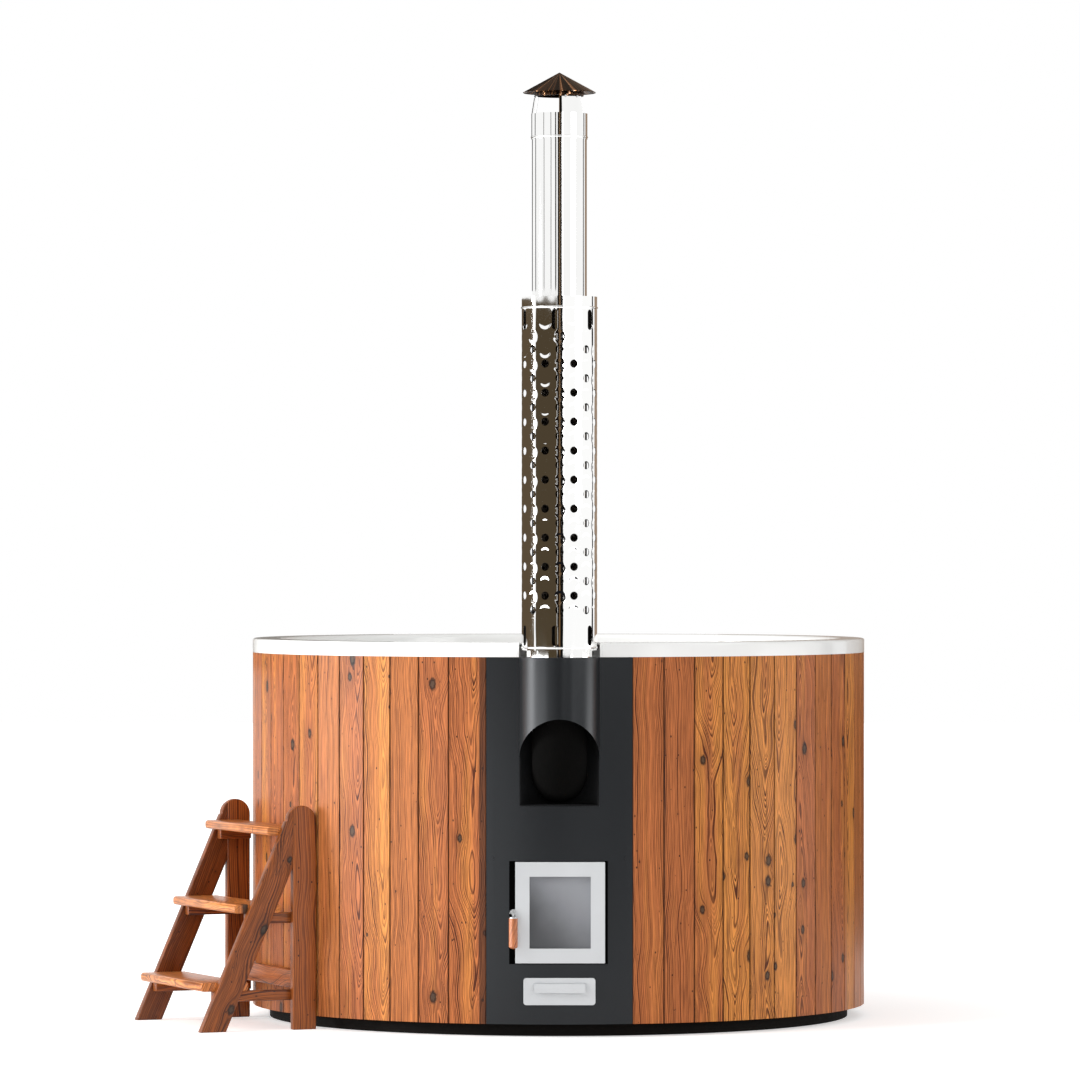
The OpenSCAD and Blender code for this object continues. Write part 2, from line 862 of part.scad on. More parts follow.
module grate() color("#2b2b2b") {
    w = pit_w + 2 * grate_lap;
    slot_pitch = (pit_w - grate_slot_w) / (grate_bars - 1);
    difference() {
        wide_bar(w, pit_front_y - grate_lap, pit_back_y + grate_lap, chamber_z,
                 chamber_z + grate_t);
        for (i = [0:grate_bars - 1])
            wide_bar(grate_slot_w, pit_front_y + grate_lap, pit_back_y - grate_lap,
                     chamber_z - over, chamber_z + grate_t + over,
                     -pit_w / 2 + grate_slot_w / 2 + i * slot_pitch);
    }
}

// Smoke way and flue
module smoke_box() color("#1e1e1e") {
    base_z = firebox_z + firebox_h;
    difference() {
        union() {
            wide_bar(smoke_w, smoke_front_y, smoke_back_y, base_z, smoke_top_z);
            wide_bar(smoke_w + smoke_flange, smoke_front_y, smoke_back_y + smoke_flange / 2,
                     base_z, base_z + smoke_t);
        }
        wide_bar(smoke_w - 2 * smoke_t, smoke_front_y + smoke_t, smoke_back_y - smoke_t,
                 base_z - over, smoke_top_z - smoke_t);
        rod_y(flue_r + pipe_gap, smoke_front_y - over, smoke_front_y + 2 * smoke_t, 0, elbow_z);
    }
}

module smoke_elbow() color("#101010") {
    bend_z = elbow_z + elbow_bend_r;
    bend_y = -clad_r + elbow_bend_r;
    in_r = flue_r - elbow_wall;
    socket_r = flue_r + pipe_gap;
    translate([0, bend_y, bend_z]) rotate([0, 90, 0]) rotate([0, 0, -90])
        rotate_extrude(angle = 90) translate([elbow_bend_r, 0]) difference() {
            circle(r = flue_r);
            circle(r = in_r);
        }
    translate([0, bend_y + elbow_reach, elbow_z]) rotate([90, 0, 0]) tube(in_r, flue_r, 0, elbow_reach);
    translate([0, -clad_r, 0]) rotate_extrude() polygon([
        [in_r, bend_z], [flue_r, bend_z], [flue_r, pipe_z - 2 * socket_lap],
        [socket_r + socket_t, pipe_z - socket_lap], [socket_r + socket_t, pipe_z + socket_l],
        [socket_r, pipe_z + socket_l], [socket_r, pipe_z], [in_r, pipe_z]
    ]);
}

module flue_pipe() color("#d8d8d8") {
    translate([0, -clad_r, 0]) tube(flue_r - elbow_wall, flue_r, pipe_z, flue_top_z);
}

module shield_collar() color("#d0d0d0") {
    translate([0, -clad_r, 0]) {
        tube(collar_drum_r - collar_wall, collar_drum_r, board_top_z, shield_z);
        tube(flue_r + pipe_gap, shield_r, shield_z - collar_wall, shield_z);
    }
}

module shield_holes() {
    for (c = [0:shield_columns - 1], k = [0:shield_rows - 1 - c % 2])
        translate([0, 0, shield_z + shield_l - hole_top_dz - hole_pitch * (k + (c % 2) / 2)])
            rotate([90, 0, 360 / shield_columns * c]) translate([0, 0, shield_r - 2 * bead_r])
                cylinder(r = shield_hole_r, h = 4 * bead_r);
}

module shield_slots() {
    straight_l = slot_l - slot_w;
    for (z = [shield_z + slot_low_dz, shield_z + shield_l - slot_high_dz], i = [0:slot_n - 1])
        translate([0, 0, z]) rotate([90, 0, slot_phase_a + 360 / slot_n * i])
            translate([0, 0, shield_r - 2 * bead_r]) linear_extrude(height = 4 * bead_r) {
                translate([-slot_w / 2, -straight_l / 2]) square([slot_w, straight_l]);
                for (s = [-1, 1]) translate([0, s * straight_l / 2]) circle(r = slot_w / 2);
            }
}

module heat_shield() color("#dcdcdc") {
    translate([0, -clad_r, 0]) difference() {
        rotate_extrude() {
            translate([shield_r - shield_wall, shield_z]) square([shield_wall, shield_l]);
            for (z = [shield_z + bead_low_dz, shield_z + shield_l - bead_high_dz])
                intersection() {
                    translate([shield_r - shield_wall / 2, z]) circle(r = bead_r);
                    translate([shield_r - shield_wall / 2, z - bead_r])
                        square([bead_r, 2 * bead_r]);
                }
        }
        shield_holes();
        shield_slots();
    }
}

module shield_spacers() color("#c8c8c8") {
    translate([0, -clad_r, 0])
        for (z = [shield_z + spacer_low_dz, shield_z + shield_l - spacer_high_dz],
             i = [0:spacer_n - 1])
            rotate([0, 0, 360 / spacer_n * (i + 1 / 4)]) intersection() {
                tube(flue_r + seat_gap / 2, shield_r - shield_wall - seat_gap / 2,
                     z - spacer_h, z + spacer_h);
                union() {
                    wide_bar(spacer_w, -shield_r, 0, z, z + spacer_t);
                    for (y = [-shield_r, -flue_r - 2 * spacer_t])
                        wide_bar(spacer_w, y, y + 3 * spacer_t, z - spacer_h / 2, z + spacer_t);
                }
            }
}

module chimney_cowl() color("#d4d4d4") {
    cowl_in_r = flue_r + pipe_gap;
    translate([0, -clad_r, 0]) {
        rotate_extrude() {
            translate([cowl_in_r, cowl_z]) square([cowl_wall, cowl_top_z - cowl_z]);
            intersection() {
                translate([cowl_in_r, cowl_bead_z]) circle(r = cowl_wall + cowl_bead_r);
                translate([cowl_in_r, cowl_z]) square([2 * cowl_wall + cowl_bead_r, cowl_top_z]);
            }
        }
        for (i = [0:strap_n - 1])
            rotate([0, 0, strap_phase_a + 360 / strap_n * i - 90 - strap_a / 2])
                rotate_extrude(angle = strap_a)
                    polygon([[strap_base_r, cowl_top_z - strap_lap], [strap_top_r, strap_top_z],
                             [strap_top_r - strap_t, strap_top_z],
                             [strap_base_r - strap_t, cowl_top_z - strap_lap]]);
    }
}

module rain_cap() color("#8c8272") {
    collar_r_out = strap_top_r - strap_t - seat_gap;
    collar_r_in = collar_r_out - cap_t;
    translate([0, -clad_r, 0]) rotate_extrude()
        polygon([
            [0, cap_z + cap_h], [cap_r, cap_z], [cap_r, cap_z - cap_lip_drop],
            [cap_r - cap_t, cap_z - cap_lip_drop], [cap_r - cap_t, cap_under_z(cap_r - cap_t)],
            [collar_r_out, cap_under_z(collar_r_out)], [collar_r_out, cap_collar_z],
            [collar_r_in, cap_collar_z], [collar_r_in, cap_under_z(collar_r_in)],
            [0, cap_under_z(0)]
        ]);
}

module cap_rivets() color("#c0c0c0") {
    rivet_z = strap_top_z - rivet_dz;
    rivet_seat_r = strap_r(rivet_z - rivet_r) + seat_gap;
    translate([0, -clad_r, 0])
        for (i = [0:strap_n - 1], side = [-1, 1])
            at_angle(strap_phase_a + 360 / strap_n * i + side * strap_a / 4)
                rod_y(rivet_r, -rivet_seat_r - rivet_t, -rivet_seat_r, 0, rivet_z);
}

// Water pipes between the stove's jacket and the footwell
module water_pipe(z) {
    difference() {
        rod_y(port_pipe_r, firebox_back_y - port_sink, -foot_wall_r(z) + port_reach, 0, z);
        rod_y(port_pipe_r - port_pipe_t, firebox_back_y - port_sink - over,
              -foot_wall_r(z) + port_reach + over, 0, z);
    }
}

module water_pipes() color("#b9bcbf") {
    for (z = [port_low_z, port_high_z]) water_pipe(z);
}

module port_flanges() color("#f0f0ee") {
    for (z = [port_low_z, port_high_z]) difference() {
        intersection() {
            rod_y(port_flange_r, -seat_in_r - seat_edge_r, -foot_wall_r(z) + port_reach, 0, z);
            liner_cavity();
        }
        rod_y(port_pipe_r + pin_gap, -seat_in_r - seat_edge_r, -foot_wall_r(z) + 2 * port_reach,
              0, z);
    }
}

module port_grilles() color("#c9cbcd") {
    for (z = [port_low_z, port_high_z]) {
        y = -foot_wall_r(z) + port_reach + seat_gap;
        difference() {
            rod_y(port_flange_r - 2 * grille_t, y, y + grille_t, 0, z);
            for (i = [0:grille_hole_n - 1])
                rod_y(grille_hole_r, y - over, y + grille_t + over,
                      grille_ring_r * cos(360 / grille_hole_n * i),
                      z + grille_ring_r * sin(360 / grille_hole_n * i));
            rod_y(grille_hole_r, y - over, y + grille_t + over, 0, z);
        }
    }
}

// Drain
module drain_fitting() color("#c4c6c8") {
    translate([drain_x, 0, 0]) {
        tube(drain_r - drain_wall, drain_stem_r, drain_joint_z, foot_z + drain_flange_t / 2);
        tube(drain_r - drain_wall, drain_flange_r, foot_z, foot_z + drain_flange_t);
    }
}

module drain_plug() color("#26282a") {
    top_z = foot_z + drain_flange_t + seat_gap;
    translate([drain_x, 0, 0]) {
        translate([0, 0, top_z - plug_stem_l])
            cylinder(r = drain_r - drain_wall - run_gap, h = plug_stem_l + plug_t / 2);
        translate([0, 0, top_z]) cylinder(r = plug_r, h = plug_t);
        translate([0, 0, top_z + plug_t / 2]) cylinder(r = plug_knob_r, h = 2 * plug_t);
    }
}

module drain_pipe() color("#9fa2a5") {
    difference() {
        union() {
            translate([drain_x, 0, drain_pipe_z])
                cylinder(r = drain_r, h = drain_joint_z - drain_pipe_z);
            rod_y(drain_r, -drain_r, valve_y, drain_x, drain_pipe_z);
        }
        translate([drain_x, 0, drain_pipe_z])
            cylinder(r = drain_r - drain_wall, h = drain_joint_z - drain_pipe_z + over);
        rod_y(drain_r - drain_wall, -drain_r + drain_wall, valve_y + over, drain_x, drain_pipe_z);
    }
}

module drain_valve() color("#b08d4a") {
    stem_y = valve_y + valve_l / 2;
    difference() {
        union() {
            rod_y(valve_r, valve_y, valve_y + valve_l, drain_x, drain_pipe_z);
            rod_y(nipple_r, valve_y + valve_l - over, valve_y + valve_l + nipple_l,
                  drain_x, drain_pipe_z);
            translate([drain_x, stem_y, drain_pipe_z])
                cylinder(r = 2 * stem_r, h = lever_z - drain_pipe_z - seat_gap);
        }
        rod_y(drain_r - drain_wall, valve_y - over, valve_y + valve_l + nipple_l + over,
              drain_x, drain_pipe_z);
        translate([drain_x, stem_y, drain_pipe_z])
            cylinder(r = stem_r + pin_gap, h = lever_z - drain_pipe_z + over);
    }
}

module valve_lever() color("#a3201c") {
    stem_y = valve_y + valve_l / 2;
    translate([drain_x, stem_y, 0]) {
        translate([0, 0, drain_pipe_z + drain_r - drain_wall + run_gap])
            cylinder(r = stem_r, h = lever_z - drain_pipe_z - drain_r + drain_wall);
        translate([0, 0, lever_z]) {
            cylinder(r = lever_w / 2, h = lever_t);
            translate([0, -lever_w / 2, 0]) cube([lever_l, lever_w, lever_t]);
            translate([lever_l, 0, 0]) cylinder(r = lever_w / 2, h = lever_t);
        }
    }
}

// Door
module door_plate(w, z0, h, y0, y1, r) {
    translate([door_cx, y1, z0]) rotate([90, 0, 0])
        linear_extrude(height = y1 - y0) round_rect(w, h, r);
}

module door_frame() color("#dcdddd") {
    difference() {
        union() {
            door_plate(door_w, door_z, door_h, door_front_y, door_back_y, door_edge_r);
            bar([latch_x, bracket_front_y, latch_z - bracket_r],
                [door_cx - door_w / 2 + bracket_r, bracket_back_y, latch_z + bracket_r]);
            rod_y(bracket_r, bracket_front_y, bracket_back_y, latch_x, latch_z);
        }
        wide_bar(glass_w, door_front_y - over, door_back_y + over, glass_z, glass_z + glass_h,
                 door_cx);
        wide_bar(glass_w + 2 * glass_lap, door_back_y - rebate_d, door_back_y + over,
                 glass_z - glass_lap, glass_z + glass_h + glass_lap, door_cx);
        for (z = [hinge_low_z, hinge_high_z]) {
            bar([hinge_x - hinge_lug_r - run_gap, hinge_y - hinge_lug_r - 4 * run_gap,
                 z - hinge_lug_h / 2 - run_gap],
                [hinge_x + door_w, door_back_y + over, z + hinge_lug_h / 2 + run_gap]);
            translate([hinge_x, hinge_y, z - hinge_pin_l / 2 - over])
                cylinder(r = hinge_pin_r + pin_gap, h = hinge_pin_l + 2 * over);
        }
        rod_y(latch_r + pin_gap, bracket_front_y - over, bracket_back_y + over, latch_x, latch_z);
        clip_places() rod_y(clip_screw_r + pin_gap, door_back_y - clip_screw_l,
                            door_back_y + over, clip_screw_dx, 0);
    }
}

module door_glass() color([0.45, 0.46, 0.47, 0.6]) {
    lap = glass_lap - pane_gap;
    wide_bar(glass_w + 2 * lap, door_back_y - rebate_d, door_back_y - rebate_d + glass_t,
             glass_z - lap, glass_z + glass_h + lap, door_cx);
}

module door_gasket() color("#3a3a38") {
    y0 = door_back_y;
    y1 = face_front_y - gasket_gap;
    difference() {
        door_plate(gasket_out_w, gasket_z, gasket_out_h, y0, y1, gasket_w);
        wide_bar(gasket_out_w - 2 * gasket_w, y0 - over, y1 + over, gasket_z + gasket_w,
                 gasket_z + gasket_out_h - gasket_w, door_cx);
    }
}

module clip_places() {
    edge_x = glass_w / 2 + glass_lap;
    for (side = [-1, 1], z = [glass_z + glass_h / 4, glass_z + 3 * glass_h / 4])
        translate([door_cx + side * edge_x, 0, z]) mirror([(1 - side) / 2, 0, 0]) children();
}

module glass_clips() color("#b4b7b9") {
    clip_places() difference() {
        union() {
            bar([-clip_reach, door_back_y, -clip_h / 2],
                [clip_lap, door_back_y + clip_t, clip_h / 2]);
            bar([-clip_reach, door_back_y - rebate_d + glass_t, -clip_h / 2],
                [-pane_gap, door_back_y + clip_t, clip_h / 2]);
        }
        rod_y(clip_screw_r + pin_gap, door_back_y - over, door_back_y + clip_t + over,
              clip_screw_dx, 0);
    }
}

module clip_screws() color("#8a8d90") {
    head_y = door_back_y + clip_t;
    clip_places() {
        rod_y(clip_screw_r, head_y - clip_screw_l, head_y, clip_screw_dx, 0);
        rod_y(clip_head_r, head_y, head_y + clip_head_t, clip_screw_dx, 0);
    }
}

// Handle
module latch_spindle() color("#c9cbcd") {
    rod_y(latch_r, bracket_front_y - run_gap, bracket_back_y + run_gap + tongue_plate_t,
          latch_x, latch_z);
    bar([latch_x - tongue_reach, bracket_back_y + run_gap, latch_z - tongue_plate_w / 2],
        [latch_x, bracket_back_y + run_gap + tongue_plate_t, latch_z + tongue_plate_w / 2]);
    rod_y(tongue_plate_w / 2 + latch_r / 2, bracket_back_y + run_gap,
          bracket_back_y + run_gap + tongue_plate_t, latch_x, latch_z);
}

module handle_arm() color("#dadbdc") {
    hub_y = bracket_front_y - run_gap;
    grip_top_z = grip_z + grip_l;
    rod_y(hub_r, hub_y - hub_t, hub_y, latch_x, latch_z);
    bar([latch_x - arm_w / 2, grip_y, grip_top_z + collar_t / 2],
        [latch_x + arm_w / 2, hub_y - hub_t / 4, latch_z]);
    translate([latch_x, grip_y, grip_top_z]) cylinder(r = collar_r, h = collar_t);
    translate([latch_x, grip_y, grip_top_z - rod_l]) cylinder(r = rod_r, h = rod_l + over);
}

module handle_grip() color("#c26a35") {
    translate([latch_x, grip_y, grip_z]) difference() {
        union() {
            translate([0, 0, grip_dome_h]) cylinder(r = grip_r, h = grip_l - grip_dome_h);
            intersection() {
                dome_r = (pow(grip_r, 2) + pow(grip_dome_h, 2)) / (2 * grip_dome_h);
                translate([0, 0, dome_r]) sphere(r = dome_r);
                cylinder(r = grip_r, h = grip_dome_h);
            }
        }
        translate([0, 0, grip_l - rod_l - over])
            cylinder(r = rod_r + pin_gap, h = rod_l + 2 * over);
    }
}

// Ash drawer
module ash_drawer() color("#8e9194") {
    z0 = chute_z + chute_t + seat_gap;
    y0 = drawer_front_y + drawer_plate_t;
    difference() {
        wide_bar(drawer_box_w, y0, drawer_back_y, z0, z0 + drawer_box_h);
        wide_bar(drawer_box_w - 2 * drawer_box_t, y0 + drawer_box_t, drawer_back_y - drawer_box_t,
                 z0 + drawer_box_t, z0 + drawer_box_h + over);
    }
}

module drawer_front() color("#dcdddd") {
    translate([0, drawer_front_y + drawer_plate_t, drawer_z]) rotate([90, 0, 0])
        linear_extrude(height = drawer_plate_t) round_rect(drawer_w, drawer_h, drawer_corner_r);
    translate([pull_cx - pull_w / 2, drawer_front_y, pull_top_z])
        rotate([90, 0, 90]) linear_extrude(height = pull_w) polygon([
            [over, 0], [-pull_reach, -pull_t], [-pull_reach, -pull_drop],
            [-pull_reach + pull_t, -pull_drop], [-pull_reach + pull_t, -2 * pull_t],
            [over, -pull_t]
        ]);
}

// Steps: x runs along the treads and -y points away from the tub
post_centre_y = -sqrt(pow(clad_r + step_clear, 2) - pow(step_w / 2 + step_shift, 2))
    - step_wood_w / 2;

module step_place() {
    rotate([0, 0, step_turn_a]) translate([step_shift, post_centre_y, 0]) children();
}

// Side frame seen from its side: x runs away from the tub and y is up
module side_outline() {
    top_x = step_top_r - step_wood_w / 2;
    top_y = step_top_z - step_top_r;
    translate([-step_wood_w / 2, 0]) square([step_wood_w, top_y]);
    translate([top_x, top_y]) circle(r = step_top_r);
    intersection() {
        translate([foot_front, 0]) rotate([0, 0, stringer_lean])
            translate([-step_wood_w / 2, -step_wood_w]) square([step_wood_w, step_top_z + step_wood_w]);
        translate([0, 0]) square([2 * foot_front, top_y]);
    }
}

module side_frames(part_x0, part_x1) {
    for (x = [-step_w / 2 - step_wood_t, step_w / 2])
        translate([x, 0, 0]) rotate([90, 0, 90]) mirror([1, 0, 0])
            linear_extrude(height = step_wood_t) intersection() {
                side_outline();
                translate([part_x0, 0]) square([part_x1 - part_x0, step_top_z]);
            }
}

module step_posts() color("#8f4e2c") step_place() side_frames(-step_wood_w, step_wood_w / 2);
module step_stringers() color("#95532f") step_place() side_frames(step_wood_w / 2, 2 * foot_front);

module tread_shape(d) {
    translate([tread_edge_r, 0]) square([d - 2 * tread_edge_r, tread_t]);
    translate([0, tread_edge_r]) square([d, tread_t - 2 * tread_edge_r]);
    for (x = [tread_edge_r, d - tread_edge_r], y = [tread_edge_r, tread_t - tread_edge_r])
        translate([x, y]) circle(r = tread_edge_r);
}

module step_treads() color("#a3603a") step_place() {
    for (i = [0:2]) {
        front = tread_1_front - i * tread_run;
        free_d = front - post_centre_y - clad_r - step_clear - tread_edge_r / 4;
        translate([-step_w / 2 + tread_gap, -front, tread_1_z + i * tread_rise - tread_t])
            rotate([90, 0, 90]) linear_extrude(height = step_w - 2 * tread_gap)
                tread_shape(min(tread_d, free_d));
    }
}

module step_cleats() color("#7d4125") step_place() {
    nearest_x = step_w / 2 - cleat_t + step_shift;
    back_y = -sqrt(pow(clad_r + step_clear, 2) - pow(nearest_x, 2)) - post_centre_y;
    for (i = [0:2], side = [0, 1]) mirror([side, 0, 0]) {
        front = tread_1_front - i * tread_run - cleat_back;
        top_z = tread_1_z + i * tread_rise - tread_t;
        bar([step_w / 2 - cleat_t, -front, top_z - cleat_h],
            [step_w / 2, back_y, top_z]);
    }
}

module step_rail() color("#8f4e2c") step_place() {
    bar([-step_w / 2, -step_wood_w / 2, rail_z],
        [step_w / 2, -step_wood_w / 2 + rail_t, rail_z + rail_h]);
}

base_joists();
base_skirt();
base_deck();
floor_slab();
cladding_rings();
rim_bearer();
frame_posts();
panel_battens();
boards_front_right();
boards_back_right();
boards_back_left();
boards_front_left();
liner();
liner_footwell();
liner_hump();
bench_bearer();
bench_legs();
front_panel();
panel_screws();
flue_housing();
door_surround();
latch_keeper();
stove_legs();
ash_chute();
firebox();
stove_face();
hinge_pins();
grate();
smoke_box();
smoke_elbow();
flue_pipe();
shield_collar();
heat_shield();
shield_spacers();
chimney_cowl();
rain_cap();
cap_rivets();
water_pipes();
port_flanges();
port_grilles();
drain_fitting();
drain_plug();
drain_pipe();
drain_valve();
valve_lever();
door_frame();
door_glass();
door_gasket();
glass_clips();
clip_screws();
latch_spindle();
handle_arm();
handle_grip();
ash_drawer();
drawer_front();
step_posts();
step_stringers();
step_treads();
step_cleats();
step_rail();
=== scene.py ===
# Looks of a round wood-clad hot tub with a built-in stove, a shielded flue and free-standing steps.
# The sections follow the object as it is put together. Lengths are in metres.
import json
import math

import bmesh
import bpy
import numpy as np
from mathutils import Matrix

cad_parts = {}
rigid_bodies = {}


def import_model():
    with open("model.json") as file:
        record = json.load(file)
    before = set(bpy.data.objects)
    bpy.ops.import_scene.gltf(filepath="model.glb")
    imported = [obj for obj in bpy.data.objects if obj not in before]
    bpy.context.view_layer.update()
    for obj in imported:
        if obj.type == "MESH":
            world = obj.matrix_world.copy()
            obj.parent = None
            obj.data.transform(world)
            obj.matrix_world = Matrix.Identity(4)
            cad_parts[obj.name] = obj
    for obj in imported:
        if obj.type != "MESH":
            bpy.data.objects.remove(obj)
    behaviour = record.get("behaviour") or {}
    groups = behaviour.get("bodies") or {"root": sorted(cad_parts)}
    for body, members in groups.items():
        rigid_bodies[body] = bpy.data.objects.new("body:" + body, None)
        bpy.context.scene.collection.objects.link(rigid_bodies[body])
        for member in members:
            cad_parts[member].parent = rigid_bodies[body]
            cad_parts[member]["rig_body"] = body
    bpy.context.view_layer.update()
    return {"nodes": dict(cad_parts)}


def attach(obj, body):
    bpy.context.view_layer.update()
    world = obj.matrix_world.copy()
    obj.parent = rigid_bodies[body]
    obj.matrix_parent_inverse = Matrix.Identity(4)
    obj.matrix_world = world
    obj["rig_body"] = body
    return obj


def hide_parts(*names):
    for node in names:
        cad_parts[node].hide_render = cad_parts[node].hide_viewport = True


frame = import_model()
nodes = frame["nodes"]


# Camera. The photo was taken level, from far away, straight at the stove's door: the horizon lies
# at half its height, and the rim and the ground curve little.
camera = bpy.data.objects.new("camera", bpy.data.cameras.new("camera"))
camera.data.sensor_width = 36.0
camera.data.lens = 213.8
camera.data.clip_end = 100.0
camera.location = (-0.0545, -18.9, 1.397)
camera.rotation_euler = (math.pi / 2, 0.0, 0.0)
bpy.context.scene.collection.objects.link(camera)
bpy.context.scene.camera = camera


# Studio. A white seamless background, an even white surround and four soft lamps, the two strongest
# from the left. White shows to the camera and in metal and glass, and lights the object at a plain
# level.
def linear(colour):
    """sRGB hex to linear: c / 12.92 up to 0.04045, above it ((c + 0.055) / 1.055) ** 2.4."""
    parts = np.array([int(colour[i : i + 2], 16) for i in (1, 3, 5)]) / 255.0
    low = parts <= 0.04045
    return tuple(np.where(low, parts / 12.92, ((parts + 0.055) / 1.055) ** 2.4)) + (1.0,)


def feed(node, *inputs):
    """Gives inputs, in their order or by name in one dict, a value or the output that feeds them."""
    named = inputs[0] if inputs and isinstance(inputs[0], dict) else dict(enumerate(inputs))
    for name, value in named.items():
        if isinstance(value, bpy.types.NodeSocket):
            node.id_data.links.new(value, node.inputs[name])
        else:
            node.inputs[name].default_value = value


def add_node(tree, kind, *inputs, **settings):
    """Adds a shader node with its settings, feeds its inputs and returns its outputs."""
    node = tree.nodes.new("ShaderNode" + kind)
    for name, value in settings.items():
        setattr(node, name, value)
    feed(node, *inputs)
    return node.outputs


def seen_directly(tree, diffuse_value):
    """1 for camera, mirror and see-through rays, and diffuse_value for light that falls on things."""
    path = add_node(tree, "LightPath")
    direct = add_node(tree, "Math", path["Is Camera Ray"], path["Is Glossy Ray"], operation="MAXIMUM")[0]
    direct = add_node(tree, "Math", direct, path["Is Transmission Ray"], operation="MAXIMUM")[0]
    return add_node(tree, "Math", direct, 1.0 - diffuse_value, diffuse_value, operation="MULTIPLY_ADD")[0]


bpy.context.scene.view_settings.view_transform = "Standard"
surround_light = 0.62
world = bpy.data.worlds.new("white_surround")
world.use_nodes = True
bpy.context.scene.world = world
feed(world.node_tree.nodes["Background"],
     {"Color": linear("#ffffff"), "Strength": seen_directly(world.node_tree, surround_light)})


def soft_lamp(name, place, target, size, power):
    """A square area lamp at place that faces target."""
    lamp = bpy.data.objects.new(name, bpy.data.lights.new(name, "AREA"))
    lamp.data.size = size
    lamp.data.energy = power
    lamp.location = place
    aim = np.array(target) - np.array(place)
    lamp.rotation_euler = (math.acos(-aim[2] / np.linalg.norm(aim)), 0.0, math.atan2(-aim[0], aim[1]))
    bpy.context.scene.collection.objects.link(lamp)


soft_lamp("key_lamp", (-8.0, -5.0, 5.5), (0.0, -0.4, 0.7), 3.5, 440.0)
soft_lamp("front_lamp", (1.0, -11.0, 3.0), (0.0, -0.9, 0.8), 3.0, 150.0)
soft_lamp("fill_lamp", (9.0, -6.0, 3.5), (0.0, -0.4, 0.7), 4.0, 170.0)
soft_lamp("side_lamp", (-9.0, -1.2, 1.9), (0.0, -0.6, 0.6), 1.6, 420.0)


def surface(name, points, faces):
    """A smooth mesh from arrays of points (n, 3) and of four-cornered faces (m, 4)."""
    mesh = bpy.data.meshes.new(name)
    mesh.from_pydata(points.tolist(), [], faces.tolist())
    mesh.polygons.foreach_set("use_smooth", np.full(len(mesh.polygons), True))
    mesh.update()
    piece = bpy.data.objects.new(name, mesh)
    bpy.context.scene.collection.objects.link(piece)
    return piece


def bare_material(name):
    """A material without any node, and its node tree."""
    material = bpy.data.materials.new(name)
    material.use_nodes = True
    material.node_tree.nodes.clear()
    return material, material.node_tree


# The paper glows towards the camera and in reflections, less so by the tub, which keeps its shadow.
# A range node with the setting s_curve goes from its lower to its upper value along an S.
s_curve = {"interpolation_type": "SMOOTHSTEP"}
floor_edge = 30.0
shadow_ends, white_starts = 0.9, 3.2
glow_near, glow_far = 0.45, 0.85
floor_corners = np.array([[-1.0, -1.0, 0.0], [1.0, -1.0, 0.0], [1.0, 1.0, 0.0], [-1.0, 1.0, 0.0]]) * floor_edge
floor = surface("floor", floor_corners, np.array([[0, 1, 2, 3]]))
floor_paper, tree = bare_material("white_seamless_paper")
paper = add_node(tree, "BsdfDiffuse", {"Color": linear("#f0f0f0")})[0]
from_tub = add_node(tree, "VectorMath", add_node(tree, "TexCoord")["Object"], operation="LENGTH")["Value"]
glow = add_node(tree, "MapRange", from_tub, shadow_ends, white_starts, glow_near, glow_far, **s_curve)[0]
glow = add_node(tree, "Math", glow, seen_directly(tree, 0.0), operation="MULTIPLY")[0]
glow = add_node(tree, "Emission", {"Strength": glow})[0]
add_node(tree, "OutputMaterial", add_node(tree, "AddShader", paper, glow)[0])
floor.data.materials.append(floor_paper)


# Studio flags and strips. Dark felt boards and bright paper strips round the set, which show only as
# reflections in the polished flue and in other shiny faces. They stand on arcs about the flue: angle
# 0 faces the camera and grows to the right.
flue_y = -0.9
flag_distance = 4.0
strip_distance = 3.9  # just inside the flags
white = "#ffffff"


def glossy_only(board):
    """Hides a board from all but glossy rays."""
    board.visible_camera = False
    board.visible_diffuse = False
    board.visible_shadow = False
    board.visible_transmission = False


def flag(name, angle_0, angle_1, z0, z1, colour, strength=1.0, distance=flag_distance):
    """Part of an upright cylinder: x = d sin a, y = flue_y - d cos a, for a from angle_0 to angle_1."""
    columns = 9
    a, z = np.meshgrid(np.radians(np.linspace(angle_0, angle_1, columns)), np.array([z0, z1]))
    points = np.stack([distance * np.sin(a), flue_y - distance * np.cos(a), z], -1).reshape(-1, 3)
    c = np.arange(columns - 1)
    board = surface(name, points, np.stack([c, c + 1, columns + c + 1, columns + c], -1))
    felt, felt_tree = bare_material(name + "_felt")
    add_node(felt_tree, "OutputMaterial",
             add_node(felt_tree, "Emission", {"Color": linear(colour), "Strength": strength})[0])
    board.data.materials.append(felt)
    glossy_only(board)


flag("flag_left_wide", -76, -8, 0.9, 2.22, "#4b4030")
flag("flag_left_far", -172, -83, 0.9, 2.22, "#5a4c3a")
flag("flag_middle_dark", -7, -1.5, 0.9, 5.0, "#171310")
flag("flag_middle_brown", -1.5, 3, 0.9, 5.0, "#6b543a")
flag("flag_middle_black", 3, 11, 0.9, 5.0, "#100e0c")
flag("flag_front_low", -14, 36, -0.1, 1.0, "#16171a")
flag("strip_left_low", -108, -38, -0.1, 1.0, white, 5.0, strip_distance)
flag("strip_middle_low", 37, 46, -0.1, 1.0, white, 2.6, strip_distance)
flag("strip_right_low", 84, 108, -0.1, 1.0, white, 4.5, strip_distance)
flag("strip_steps_back", -150, -124, 0.0, 1.0, white, 1.05, 1.9)
flag("flag_side_low", 46, 76, -0.1, 0.94, "#5a5a5c")
flag("flag_right_low", 112, 178, -0.1, 0.94, "#2b2826")
flag("flag_right_line", 117, 124, 0.9, 5.0, "#1c1a18")
flag("flag_right_edge", 134, 172, 0.9, 5.0, "#9a8573")
flag("flag_left_edge", -178, -152, 2.25, 5.0, "#2e2a26")
